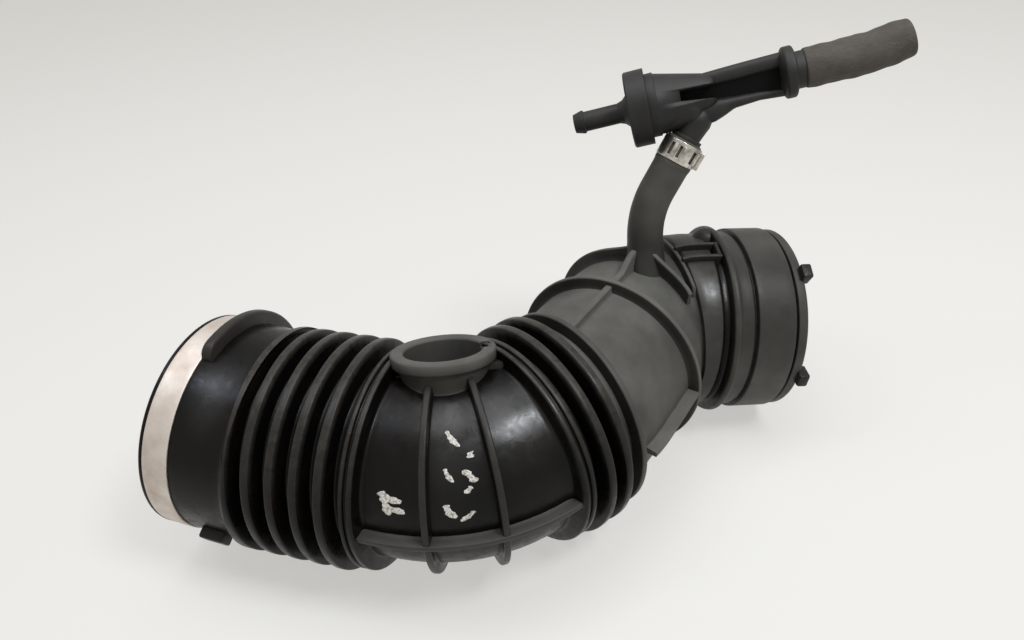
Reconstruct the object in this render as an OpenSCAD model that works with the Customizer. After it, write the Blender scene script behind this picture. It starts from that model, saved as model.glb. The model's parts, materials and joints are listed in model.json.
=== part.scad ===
// Air intake duct with a suction jet pump on a moulded branch pipe.
// Millimetres. The origin is the centre of the inlet mouth, +X runs along the inlet bellows,
// +Z is up. The duct lies on its bellows crests.

/* [Duct walls] */
// outside radius of the plain duct body
body_r = 38; // [30:0.5:60]
// outside radius of the elbow
elbow_body_r = 39; // [30:0.5:60]
// wall of the plain duct body
wall = 2.8; // [1.5:0.1:5]
// thickness of the ring ribs round the bends
rib_t = 2.6; // [1:0.1:5]
// angle left free of ribs on the inner side of the middle bend
rib_gap = 110; // [60:1:180]
// outside radius of the two ribs of the middle bend
mid_rib_r = 42; // [38:0.5:50]
// outside radius of the two ribs of the elbow
elbow_rib_r = 44; // [38:0.5:50]
// how far the lengthwise flange of the middle bend reaches from the duct axis
flange_r = 42.5; // [38:0.5:50]
// thickness of the lengthwise flanges
flange_t = 2.4; // [1:0.1:5]

/* [Inlet cuff] */
// length from the mouth to the first bellows crest
cuff_len = 37.3; // [20:0.1:60]
// upward tilt of the cuff, in degrees
cuff_tilt = 5.5; // [0:0.5:15]
// radius of the seat for the metal band
band_seat_r = 43.4; // [35:0.1:60]
// width of the seat for the metal band
band_seat_w = 10.7; // [6:0.1:25]
// rubber between that seat and the bore
cuff_wall = 3.4; // [2:0.1:6]
// how much the cuff beside the seat stands above it
cuff_over = 0.2; // [0.1:0.1:2]
// how much the lip at the mouth stands above the seat
lip_over = 0.8; // [0.2:0.1:4]
// width of the lip
lip_w = 1.6; // [0.5:0.1:4]
// how much the hook flange beside the band stands above the seat
hook_over = 6.2; // [2:0.1:12]
// width of the hook flange
hook_w = 4; // [2:0.1:8]
// angle at which the hook flange starts, from the far side upwards
hook_from = 15; // [0:1:90]
// angle that the hook flange covers
hook_sweep = 92; // [30:1:200]
// angle of the foot lug, from the far side upwards
lug_angle = 208; // [180:1:300]
// distance from the foot lug's near end to the first bellows crest
lug_at = 18.5; // [8:0.1:30]

/* [Bellows] */
// outside radius of the bellows crests
crest_r = 46; // [40:0.5:60]
// distance between crests of the inlet bellows
inlet_pitch = 9.6; // [6:0.1:15]
// distance between crests of the outlet bellows
outlet_pitch = 9.1; // [6:0.1:15]
// width of a crest at its top
crest_w = 3.2; // [2:0.1:6]
// width of a crest at its root
root_w = 4.8; // [2:0.1:8]
// width of the fold inside a crest, at its mouth
fold_w = 2.6; // [1:0.1:5]
// rubber left outside the fold
fold_wall = 2; // [1:0.1:4]
// outside radius of the double crest that ends each bellows
end_crest_r = 44; // [40:0.5:60]
// width of the double crest
end_crest_w = 5.2; // [3:0.1:8]

/* [Middle bend] */
// distance from the first crest to the start of the bend
bend_start = 57.2; // [50:0.1:90]
// radius on the inner side of the bend
bend_inner_r = 4; // [1:0.5:50]
// angle of the bend
bend_angle = 54; // [10:1:90]
// angle round the bend of the first rib
rib_a = 13.1; // [0:0.1:54]
// angle round the bend of the second rib
rib_b = 32.6; // [0:0.1:54]

/* [Port] */
// angle round the bend of the port
port_at = 19.4; // [0:0.1:54]
// how far the port leans back from upright
port_lean = 20; // [0:0.5:60]
// height of the port's rim from the duct axis
port_h = 46.2; // [40:0.1:70]
// outside radius of the port's rim
port_rim_r = 20.2; // [10:0.1:30]
// height of the thick rim
port_rim_h = 4.4; // [1:0.1:10]
// radius of the collar under the rim
port_neck_r = 18.4; // [10:0.1:30]
// bore radius of the port
port_bore_r = 15; // [5:0.1:28]

/* [Outlet bellows and kink] */
// distance from the bend to the double crest
outlet_first = 2.6; // [2:0.1:10]
// radius on the inner side of the small kink after the bellows
kink_inner_r = 1; // [0.5:0.5:50]
// angle of the kink
kink_angle = 19.4; // [0:0.1:40]
// distance from the bend to the kink
kink_start = 22.6; // [15:0.1:40]
// outside radius of the thin crest in the kink
thin_crest_r = 44; // [40:0.1:60]
// distance of the thin crest from the start of the kink
thin_crest_at = 7.4; // [4:0.1:15]

/* [Elbow] */
// straight length between the kink and the elbow's bend
elbow_straight = 44.9; // [20:0.1:90]
// distance of the first elbow rib from the kink
elbow_rib_at = 30.4; // [5:0.1:60]
// radius on the inner side of the elbow
elbow_inner_r = 1; // [0.5:0.5:50]
// angle of the elbow
elbow_angle = 51.3; // [10:0.1:90]
// angle round the elbow of the second rib
elbow_rib_b = 14; // [0:0.1:50]
// height of the lengthwise rib on top, from the duct axis
top_rib_h = 41.8; // [38:0.1:50]
// width of the lengthwise rib on top
top_rib_w = 3; // [1:0.1:6]

/* [Outlet cuff] */
// length from the elbow to the mouth
outlet_len = 44.8; // [30:0.1:80]
// how much the outlet cuff points down, in degrees
outlet_dip = 5; // [0:0.1:15]
// how much the outlet cuff's axis starts above the elbow's axis
outlet_lift = 1; // [0:0.1:5]
// radius of the barrel beside the elbow
barrel_r = 41; // [38:0.1:50]
// radius of the wide groove between the barrel and the round bead
groove_r = 39.6; // [38:0.1:50]
// width of that groove
groove_w = 4; // [1:0.1:8]
// radius of the round bead beside the barrel
bead_r = 44.6; // [40:0.1:50]
// distance of that bead from the elbow
bead_at = 12.3; // [5:0.1:30]
// radius between the bead and the clamp seat
waist_r = 41.8; // [38:0.1:50]
// radius of the clamp seat
seat_r = 43.2; // [38:0.1:50]
// distance from the elbow to the clamp seat
seat_at = 21.4; // [10:0.1:40]
// distance from the elbow to the end bead
end_bead_at = 39.2; // [20:0.1:60]
// outside radius of the end bead
end_bead_r = 42.4; // [38:0.1:50]
// bore radius of the outlet cuff
outlet_bore_r = 38; // [30:0.1:48]
// angle of the upper end tab, from the far side upwards
tab_a = 120; // [0:1:360]
// angle of the lower end tab
tab_b = 186; // [0:1:360]
// angle of the raised box rib on top of the barrel
box_angle = 101; // [60:1:140]
// height of the box rib, from the cuff's axis
box_h = 44.2; // [42:0.1:50]
// radius of the round bump beside the box rib
bump_r = 6; // [3:0.1:12]

/* [Branch pipe] */
// outside radius of the branch pipe
branch_r = 7.9; // [4:0.1:15]
// bore radius of the branch pipe
branch_bore_r = 4.8; // [2:0.1:12]
// radius of the branch pipe's bend
branch_bend_r = 42; // [15:0.5:90]
// angle of the branch pipe's bend
branch_bend = 30.6; // [0:0.1:90]
// straight length between the pump's end of the pipe and the bend
branch_top = 22.9; // [5:0.1:60]
// straight length from the bend into the elbow's wall
branch_foot = 17.5; // [1:0.1:30]
// how much the foot widens towards the elbow
branch_flare = 4.2; // [0:0.1:10]

/* [Jet pump] */
// radius of the cap's disc
cap_r = 15.8; // [8:0.1:30]
// thickness of the cap
cap_t = 8.5; // [4:0.1:15]
// radius of the pump body's ring beside the cap
ring_r = 13.2; // [8:0.1:25]
// length of the barbed nipple
nipple_len = 23.7; // [10:0.1:50]
// outside radius of the nipple's tube
nipple_r = 4.2; // [2:0.1:8]
// outside radius of the nipple's barb
barb_r = 4.9; // [2:0.1:9]
// bore radius of the nipple
nipple_bore_r = 2.4; // [1:0.1:6]
// distance from the cap to the far side of the collar
collar_end = 67.6; // [40:0.1:120]
// outside radius of the collar
collar_r = 10.3; // [6:0.1:20]
// thickness of the collar
collar_t = 5; // [2:0.1:10]
// angle between the pump's axis and its branch
branch_angle = 49.4; // [20:0.1:90]
// where the branch's axis meets the pump's axis
branch_meet = 35.7; // [20:0.1:60]
// distance along the branch to the end of the branch pipe
branch_reach = 22.7; // [15:0.1:60]
// outside radius of the outlet spigot
spigot_r = 5; // [2:0.1:10]
// length of the outlet spigot beyond its neck
spigot_len = 20; // [5:0.1:40]

/* [End hose] */
// outside radius of the end hose
hose_r = 8.1; // [4:0.1:15]
// bore radius of the end hose
hose_bore_r = 5.3; // [2:0.1:12]
// straight length of the end hose beside the pump
hose_straight = 20; // [5:0.1:60]
// straight length of the end hose beside its open end
hose_tail = 12; // [2:0.1:60]
// radius of the end hose's bend
hose_bend_r = 60; // [20:1:300]
// angle of the end hose's bend
hose_bend = 8; // [0:0.5:60]

/* [Clamp and band] */
// thickness of the metal band on the inlet cuff
band_t = 0.9; // [0.4:0.1:2]
// thickness of the ear clamp's strap
strap_t = 0.7; // [0.3:0.1:2]
// width of the ear clamp's strap
strap_w = 8.9; // [4:0.1:15]
// distance from the end of the branch pipe to the clamp's strap
clamp_in = 0.8; // [0:0.1:10]

/* [Hidden] */
$fn = 96;
inlet_bore_r = band_seat_r - cuff_wall;
cuff_r = band_seat_r + cuff_over;
lip_r = band_seat_r + lip_over;
hook_r = band_seat_r + hook_over;
bore_r = body_r - wall;
bend_r = body_r + bend_inner_r;
kink_r = elbow_body_r + kink_inner_r;
elbow_r = elbow_body_r + elbow_inner_r;
elbow_bore_r = elbow_body_r - wall;
lap = 1.6;
step = 0.2;
axis_drop = cuff_len * sin(cuff_tilt);
axis_run = cuff_len * cos(cuff_tilt);
end_crest_at = 5 * inlet_pitch;
outlet_start = 0.4;
play = 0.3;
rib_bite = 0.9;
thin_crest_side = 1;
port_void_low = 15;
neck_r = 7.4;
neck_len = 3.4;
hose_at = collar_end + neck_len;
cap_wall = 3;
flap_t = 0.8;
seat_x = 5.4;
tube_rise = 1.4;
pump_pos = [74.1, 14.36, 100.52];
pump_turn = [-20, -13.3, -63.1];
outlet_back = 4;
outlet_void_from = -2;
elbow_void_past = 3;
top_rib_from = asin(thin_crest_at / kink_r);
side_rib_from = asin(thin_crest_at / (kink_r + elbow_body_r));

// turns a solid that stands on +Z so that it lies along +X, with its own +X to the far side
module along_x() {
  rotate([90, 0, 90])
    children();
}

// moves on to the end of a bend to the left
module past_left(angle, radius) {
  translate([0, radius, 0])
    rotate([0, 0, angle])
      translate([0, -radius, 0])
        children();
}

// moves on to the end of a bend to the right
module past_right(angle, radius) {
  translate([0, -radius, 0])
    rotate([0, 0, -angle])
      translate([0, radius, 0])
        children();
}

// a round length of a bend to the left, a little thinner than the straight parts it laps into
module bend_left(angle, radius, tube_r) {
  past_left(-lap, radius)
    sweep_left(angle + 2 * lap, radius)
      translate([radius, 0])
        circle(tube_r - step);
}

// the same to the right
module bend_right(angle, radius, tube_r) {
  past_right(-lap, radius)
    sweep_right(angle + 2 * lap, radius)
      translate([radius, 0])
        circle(tube_r - step);
}

// sweeps a section round a bend to the left; section x is the distance from the bend's centre
module sweep_left(angle, radius) {
  translate([0, radius, 0])
    rotate([0, 0, -90])
      rotate_extrude(angle = angle)
        children();
}

// sweeps a section round a bend to the right
module sweep_right(angle, radius) {
  translate([0, -radius, 0])
    rotate([0, 0, 90 - angle])
      rotate_extrude(angle = angle)
        children();
}

// the frames of the duct, each at the start of its stretch
module at_bellows() {
  translate([axis_run, 0, -axis_drop])
    children();
}

module at_cuff() {
  at_bellows()
    rotate([0, cuff_tilt, 0])
      children();
}

module at_bend() {
  at_bellows()
    translate([bend_start, 0, 0])
      children();
}

module at_outlet_bellows() {
  at_bend()
    past_left(bend_angle, bend_r)
      children();
}

module at_kink() {
  at_outlet_bellows()
    translate([kink_start, 0, 0])
      children();
}

module at_elbow() {
  at_kink()
    past_left(kink_angle, kink_r)
      children();
}

module at_elbow_bend() {
  at_elbow()
    translate([elbow_straight, 0, 0])
      children();
}

module at_outlet() {
  at_elbow_bend()
    past_right(elbow_angle, elbow_r)
      translate([0, 0, outlet_lift])
        rotate([0, outlet_dip, 0])
          children();
}

module at_pump() {
  at_elbow()
    translate(pump_pos)
      rotate(pump_turn)
        children();
}

// the pump's branch: +X runs along it, away from the pump
module at_branch() {
  at_pump()
    rotate([90, 0, 0])
      translate([branch_meet, 0, 0])
        rotate([0, 0, 180 + branch_angle])
          children();
}

// one closed profile of a hollow crest, from the root on its near side to the root on its far side
function crest(at, top, half_root, half_top, low) = [
  [at - half_root, low],
  [at - half_top, top],
  [at + half_top, top],
  [at + half_root, low]
];

// the double crest that ends a bellows, with a shallow groove round its top
function double_crest(at) = [
  [at - end_crest_w / 2 - 0.6, body_r],
  [at - end_crest_w / 2, end_crest_r],
  [at - 1, end_crest_r],
  [at - 0.6, end_crest_r - 1.2],
  [at + 0.2, end_crest_r - 1.2],
  [at + 0.6, end_crest_r],
  [at + end_crest_w / 2, end_crest_r],
  [at + end_crest_w / 2 + 0.6, body_r]
];

function ridge(at) = crest(at, crest_r, root_w / 2, crest_w / 2, body_r);

function fold(at) = crest(at, crest_r - fold_wall, fold_w / 2, 0.55, bore_r);

// a turned solid from a profile of [distance along X, radius] points
module turned(profile) {
  along_x()
    rotate_extrude()
      polygon([for (p = profile) [p[1], p[0]]]);
}

// a ring rib across the duct, open on the inner side of the bend
module ring_rib(radius, foot_r, thick, from, sweep) {
  along_x()
    translate([0, 0, -thick / 2])
      rotate([0, 0, from])
        rotate_extrude(angle = sweep)
          translate([foot_r, 0])
            square([radius - foot_r, thick]);
}

module inlet_cuff_body() {
  seat_end = lip_w + band_seat_w - cuff_len;
  at_cuff() {
    turned([
      [-cuff_len, 0], [-cuff_len, lip_r - 0.5], [-cuff_len + 0.5, lip_r], [lip_w - cuff_len, lip_r],
      [lip_w - cuff_len, band_seat_r], [seat_end, band_seat_r], [seat_end, cuff_r], [-1, cuff_r], [-1, 0]
    ]);
    // hook flange that keeps the band in place
    along_x()
      translate([0, 0, seat_end])
        rotate([0, 0, hook_from])
          rotate_extrude(angle = hook_sweep)
            translate([inlet_bore_r + 1, 0])
              square([hook_r - inlet_bore_r - 1, hook_w]);
    // foot lug under the cuff
    along_x()
      rotate([0, 0, lug_angle])
        translate([inlet_bore_r + 1, -4, -lug_at])
          cube([6.4, 8, 12]);
  }
}

module inlet_bellows_body() {
  at_bellows()
    turned(concat(
      [[-root_w / 2, 0]],
      [for (i = [0:4]) each ridge(i * inlet_pitch)],
      double_crest(end_crest_at),
      [[bend_start, body_r], [bend_start, 0]]
    ));
}

module outlet_bellows_body() {
  at_outlet_bellows()
    turned(concat(
      [[0, 0], [0, end_crest_r - 1], [outlet_start, end_crest_r]],
      [[outlet_first - 1, end_crest_r], [outlet_first - 0.6, end_crest_r - 1.2],
       [outlet_first + 0.2, end_crest_r - 1.2], [outlet_first + 0.6, end_crest_r],
       [outlet_first + end_crest_w / 2, end_crest_r], [outlet_first + end_crest_w / 2 + 0.6, body_r]],
      ridge(outlet_first + outlet_pitch),
      ridge(kink_start - root_w / 2),
      [[kink_start, 0]]
    ));
}

module plain_bends_body() {
  at_bend()
    bend_left(bend_angle, bend_r, body_r);
  at_kink()
    bend_left(kink_angle, kink_r, elbow_body_r);
  at_elbow()
    rotate([0, 90, 0])
      cylinder(r = elbow_body_r, h = elbow_straight);
  at_elbow_bend()
    bend_right(elbow_angle, elbow_r, elbow_body_r);
}

module outlet_cuff_body() {
  groove_from = bead_at - 2.2 - groove_w;
  at_outlet()
    turned([
      [-outlet_back, 0], [-outlet_back, barrel_r], [groove_from - 0.4, barrel_r],
      [groove_from, groove_r], [groove_from + groove_w, groove_r], [bead_at - 1.8, bead_r - 0.8],
      [bead_at - 0.8, bead_r], [bead_at + 0.8, bead_r], [bead_at + 1.8, bead_r - 0.8],
      [bead_at + 2.6, waist_r], [seat_at - 1, waist_r], [seat_at - 0.4, waist_r - 0.8],
      [seat_at + 0.2, waist_r - 0.8], [seat_at + 0.6, seat_r], [end_bead_at - 0.4, seat_r],
      [end_bead_at, end_bead_r - 1.4], [end_bead_at + 0.8, end_bead_r - 1.4],
      [end_bead_at + 1.2, end_bead_r], [outlet_len - 1, end_bead_r],
      [outlet_len, end_bead_r - 1], [outlet_len, 0]
    ]);
}

// a lengthwise rib round a bend, a little slimmer than the straight ribs that it laps into
module rib_left(angle, radius, low, high, thick) {
  past_left(-lap, radius)
    sweep_left(angle + 2 * lap, radius)
      translate([low, -thick / 2 + step / 2])
        square([high - low - step / 2, thick - step]);
}

module ribs() {
  mid_low = bore_r + 1;
  low = elbow_bore_r + 1;
  elbow_foot = elbow_bore_r + rib_bite;
  // middle bend: two ring ribs and the lengthwise flange
  at_bend() {
    for (angle = [rib_a, rib_b])
      past_left(angle, bend_r)
        ring_rib(mid_rib_r, body_r - rib_bite, rib_t, rib_gap / 2, 360 - rib_gap);
    rib_left(bend_angle, bend_r, bend_r + mid_low, bend_r + flange_r, flange_t);
    translate([end_crest_at - bend_start, -flange_r, -flange_t / 2])
      cube([bend_start - end_crest_at, flange_r - mid_low, flange_t]);
  }
  // thin crest across the kink, with the top rib and the side flange beyond it
  at_kink() {
    translate([thin_crest_at, thin_crest_side, 0])
      ring_rib(thin_crest_r, elbow_foot, rib_t, 0, 360);
    past_left(top_rib_from, kink_r)
      sweep_left(kink_angle - top_rib_from + lap, kink_r)
        translate([kink_r - top_rib_w / 2 + step / 2, low])
          square([top_rib_w - step, top_rib_h - low - step / 2]);
    past_left(side_rib_from, kink_r)
      sweep_left(kink_angle - side_rib_from + lap, kink_r)
        translate([kink_r + low, -flange_t / 2 + step / 2])
          square([elbow_rib_r - low - step / 2, flange_t - step]);
  }
  // elbow: two ring ribs, the top rib and the side flange
  at_elbow() {
    translate([elbow_rib_at, 0, 0])
      ring_rib(elbow_rib_r, elbow_foot, rib_t, 0, 360);
    translate([0, -top_rib_w / 2, low])
      cube([elbow_straight, top_rib_w, top_rib_h - low]);
    translate([0, -elbow_rib_r, -flange_t / 2])
      cube([elbow_rib_at, elbow_rib_r - low, flange_t]);
  }
  at_elbow_bend() {
    past_right(elbow_rib_b, elbow_r)
      ring_rib(elbow_rib_r, elbow_foot, rib_t, 0, 360);
    past_right(-lap, elbow_r)
      sweep_right(elbow_rib_b + lap, elbow_r)
        translate([elbow_r - top_rib_w / 2 + step / 2, low])
          square([top_rib_w - step, top_rib_h - low - step / 2]);
  }
}

module port_body() {
  at_bend()
    past_left(port_at, bend_r)
      rotate([-port_lean, 0, 0]) {
        translate([0, 0, bore_r - 12])
          cylinder(r1 = port_neck_r - 1.4, r2 = port_neck_r, h = port_h - port_rim_h - bore_r + 12);
        translate([0, 0, port_h - port_rim_h])
          cylinder(r = port_rim_r, h = port_rim_h);
        // bars from the port to the bellows' end crests
        translate([port_neck_r - 3, -2.2, bore_r - 2])
          cube([11.5, 4.4, 8]);
        translate([-port_neck_r - 6, -6, bore_r - 3])
          cube([9, 9, 6.5]);
      }
}

module outlet_details() {
  low = elbow_bore_r + 1;
  box_from = -9.5;
  box_to = bead_at - 4.2;
  box_half = 5.3;
  at_outlet() {
    // raised box rib on top of the barrel
    along_x()
      for (side = [-1, 1])
        rotate([0, 0, box_angle + side * box_half])
          translate([low, -0.8, box_from])
            cube([box_h - low, 1.6, box_to - box_from]);
    along_x()
      rotate([0, 0, box_angle])
        translate([low, -4.6, box_to - 1.6])
          cube([box_h - low, 9.2, 1.6]);
    // round bump beside the box rib
    along_x()
      rotate([0, 0, box_angle - 25])
        translate([barrel_r - 2, 0, bead_at - 2.6])
          sphere(r = bump_r);
    // end tabs
    along_x()
      for (angle = [tab_a, tab_b])
        rotate([0, 0, angle])
          translate([outlet_bore_r + 1, -4, outlet_len - 2.6])
            cube([end_bead_r + 4 - outlet_bore_r - 1, 8, 5.4]);
  }
}

module branch_body() {
  at_branch()
    translate([branch_reach, 0, 0]) {
      rotate([0, 90, 0])
        cylinder(r = branch_r, h = branch_top);
      translate([branch_top, 0, 0]) {
        bend_left(branch_bend, branch_bend_r, branch_r);
        past_left(branch_bend, branch_bend_r)
          rotate([0, 90, 0])
            cylinder(r1 = branch_r + step, r2 = branch_r + branch_flare, h = branch_foot);
      }
    }
}

module branch_void() {
  at_branch()
    translate([branch_reach, 0, 0]) {
      translate([-1, 0, 0])
        rotate([0, 90, 0])
          cylinder(r = branch_bore_r, h = branch_top + 1);
      translate([branch_top, 0, 0]) {
        bend_left(branch_bend, branch_bend_r, branch_bore_r);
        past_left(branch_bend, branch_bend_r)
          rotate([0, 90, 0])
            cylinder(r = branch_bore_r, h = branch_foot + 1);
      }
    }
}

module duct_void() {
  at_cuff()
    rotate([0, 90, 0])
      translate([0, 0, -cuff_len - 1])
        cylinder(r = inlet_bore_r, h = cuff_len + 1 - 4.5);
  at_bellows()
    turned(concat(
      [[-8, 0], [-8, bore_r]],
      [for (i = [0:4]) each fold(i * inlet_pitch)],
      [[bend_start, bore_r], [bend_start, 0]]
    ));
  at_bend()
    bend_left(bend_angle, bend_r, bore_r);
  at_outlet_bellows()
    turned(concat(
      [[0, 0], [0, bore_r]],
      fold(outlet_first + outlet_pitch),
      fold(kink_start - root_w / 2),
      [[kink_start, bore_r], [kink_start, 0]]
    ));
  at_kink()
    bend_left(kink_angle, kink_r, elbow_bore_r);
  at_elbow()
    rotate([0, 90, 0])
      cylinder(r = elbow_bore_r, h = elbow_straight);
  at_elbow_bend()
    bend_right(elbow_angle + elbow_void_past, elbow_r, elbow_bore_r);
  at_outlet()
    rotate([0, 90, 0])
      translate([0, 0, outlet_void_from])
        cylinder(r = outlet_bore_r, h = outlet_len + 2 - outlet_void_from);
  at_bend()
    past_left(port_at, bend_r)
      rotate([-port_lean, 0, 0]) {
        translate([0, 0, bore_r - port_void_low])
          cylinder(r = port_bore_r, h = port_h - bore_r + port_void_low + 1);
        // nick in the rim
        translate([port_bore_r - 1, 3, port_h - 2])
          cube([2.6, 2.2, 3]);
      }
}

module duct() {
  color([0.07, 0.07, 0.07])
    difference() {
      union() {
        inlet_cuff_body();
        inlet_bellows_body();
        plain_bends_body();
        outlet_bellows_body();
        outlet_cuff_body();
        ribs();
        port_body();
        outlet_details();
        branch_body();
      }
      duct_void();
      branch_void();
    }
}

module inlet_band() {
  from = lip_w - cuff_len + play / 2;
  to = from + band_seat_w - play;
  color([0.78, 0.76, 0.74])
    at_cuff()
      turned([
        [from, band_seat_r], [from, band_seat_r + band_t], [to, band_seat_r + band_t], [to, band_seat_r]
      ]);
}

module ear_clamp() {
  color([0.72, 0.7, 0.68])
    at_branch()
      translate([branch_reach + clamp_in, 0, 0])
        rotate([0, 90, 0]) {
          difference() {
            cylinder(r = branch_r + strap_t, h = strap_w);
            translate([0, 0, -1])
              cylinder(r = branch_r, h = strap_w + 2);
            // windows that the hooks sit in
            for (angle = [-105, -62])
              rotate([0, 0, angle])
                translate([branch_r - 1, -1.3, 2])
                  cube([3, 2.6, strap_w - 4]);
          }
          // hooks in the windows
          for (angle = [-105, -62])
            rotate([0, 0, angle])
              translate([branch_r + 0.05, -0.85, 2.6])
                cube([strap_t + 0.75, 1.2, strap_w - 4]);
          // closed ear
          rotate([0, 0, -20]) {
            translate([branch_r + strap_t / 2, -2.2, 1])
              cube([2.6, strap_t, strap_w - 2]);
            translate([branch_r + strap_t / 2, 1.5, 1])
              cube([2.6, strap_t, strap_w - 2]);
            translate([branch_r + strap_t / 2 + 2, -2.2, 1])
              cube([strap_t, 3.7 + strap_t, strap_w - 2]);
          }
        }
}

module pump_cap() {
  color([0.1, 0.1, 0.1])
    at_pump()
      difference() {
        turned([
          [-nipple_len, 0], [-nipple_len, nipple_r - 0.3], [-nipple_len + 3.6, barb_r],
          [-nipple_len + 4.2, barb_r], [-nipple_len + 4.7, nipple_r], [-4.5, nipple_r],
          [-2.2, nipple_r + 0.8], [0, nipple_r + 2.8], [0, cap_r - 0.6], [0.6, cap_r], [cap_t, cap_r],
          [cap_t, 0]
        ]);
        turned([
          [-nipple_len - 1, 0], [-nipple_len - 1, nipple_bore_r], [2.2, nipple_bore_r],
          [2.2, cap_r - cap_wall], [cap_t + 1, cap_r - cap_wall], [cap_t + 1, 0]
        ]);
      }
}

module valve_flap() {
  color([0.16, 0.15, 0.14])
    at_pump()
      translate([seat_x - flap_t, 0, 0])
        rotate([0, 90, 0])
          difference() {
            cylinder(r = cap_r - cap_wall - 1.2, h = flap_t);
            translate([0, 0, -1])
              cylinder(r = 1.5 + play, h = flap_t + 2);
          }
}

// the tubes, web and branch that make the pump body's tail
module pump_tail() {
  upper_at = 4.8;
  lower_at = -6.4;
  translate([20, 0, upper_at])
    rotate([0, 90 - tube_rise, 0])
      cylinder(r = 3.3, h = collar_end - collar_t - 19);
  translate([24, 0, lower_at - 0.9])
    rotate([0, 90 - tube_rise, 0])
      cylinder(r1 = 3.9, r2 = 2.3, h = collar_end - collar_t - 23.5);
  // flat web between the two tubes
  rotate([90, 0, 0])
    translate([0, 0, -1.4])
      linear_extrude(2.8)
        polygon([[20, 5], [collar_end - collar_t + 0.5, 6], [collar_end - collar_t + 0.5, -7], [26, -8]]);
  // round barrel beside the cap
  translate([11, 0, -4.3])
    rotate([0, 90, 0])
      cylinder(r = 8.4, h = 18);
}

module pump_body() {
  chamber_r = 9.5;
  neck_at = collar_end + neck_len;
  color([0.09, 0.09, 0.09])
    difference() {
      union() {
        at_pump() {
          // plug, ring and cone
          turned([
            [seat_x, 0], [seat_x, cap_r - cap_wall - play], [cap_t, cap_r - cap_wall - play],
            [cap_t, ring_r], [12, ring_r], [12, ring_r - 0.5], [33, 7.6], [33, 0]
          ]);
          // stud that holds the flap
          turned([
            [seat_x - 2, 0], [seat_x - 2, 1.5], [seat_x + 1, 1.5], [seat_x + 1, 0]
          ]);
          pump_tail();
          // collar, neck and outlet spigot
          turned([
            [collar_end - collar_t, 0], [collar_end - collar_t, collar_r - 1.2],
            [collar_end - collar_t + 1.2, collar_r], [collar_end - 1.2, collar_r],
            [collar_end, collar_r - 1.2], [collar_end, neck_r], [neck_at, neck_r],
            [neck_at, spigot_r], [neck_at + spigot_len, spigot_r],
            [neck_at + spigot_len, 0]
          ]);
        }
        at_branch()
          rotate([0, 90, 0]) {
            cylinder(r = 5.4, h = branch_reach);
            translate([0, 0, branch_reach - 1.6])
              cylinder(r = 6.8, h = 1.6);
            cylinder(r = branch_bore_r - play, h = branch_reach + 14);
          }
      }
      at_pump() {
        // chamber behind the seat, with four holes through the seat
        turned([
          [seat_x + 2.4, 0], [seat_x + 2.4, chamber_r], [cap_t + 4, chamber_r], [26, 3.2], [26, 0]
        ]);
        rotate([0, 90, 0])
          for (angle = [0, 90, 180, 270])
            rotate([0, 0, angle])
              translate([6, 0, seat_x - 1])
                cylinder(r = 1.6, h = 4);
        // the two passages to the collar, and the outlet bore
        translate([19, 0, 4.8])
          rotate([0, 90 - tube_rise, 0])
            cylinder(r = 1.9, h = collar_end - 20);
        translate([23, 0, -7.3])
          rotate([0, 90 - tube_rise, 0])
            cylinder(r = 1.3, h = collar_end - 24);
        turned([
          [collar_end - 2.6, 0], [collar_end - 2.6, 6.8], [collar_end - 1, 6.8],
          [collar_end + 1.6, 3.4], [neck_at + spigot_len + 1, 3.4], [neck_at + spigot_len + 1, 0]
        ]);
      }
      at_branch()
        rotate([0, 90, 0])
          translate([0, 0, 9.4])
            cylinder(r = 3.1, h = branch_reach + 10);
    }
}

module hose_shape(radius, over) {
  translate([-over, 0, 0])
    rotate([0, 90, 0])
      cylinder(r = radius, h = hose_straight + over);
  translate([hose_straight, 0, 0]) {
    bend_left(hose_bend, hose_bend_r, radius);
    past_left(hose_bend, hose_bend_r)
      rotate([0, 90, 0])
        cylinder(r = radius, h = hose_tail + over);
  }
}

module end_hose() {
  color([0.2, 0.18, 0.16])
    at_pump()
      translate([hose_at, 0, 0])
        rotate([90, 0, 0])
          difference() {
            hose_shape(hose_r, 0);
            hose_shape(hose_bore_r, 1);
          }
}

duct();
inlet_band();
ear_clamp();
pump_cap();
valve_flap();
pump_body();
end_hose();
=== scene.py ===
import json
import math
from functools import partial
import bmesh
import bpy
import numpy as np
from mathutils import Matrix, Vector

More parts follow.
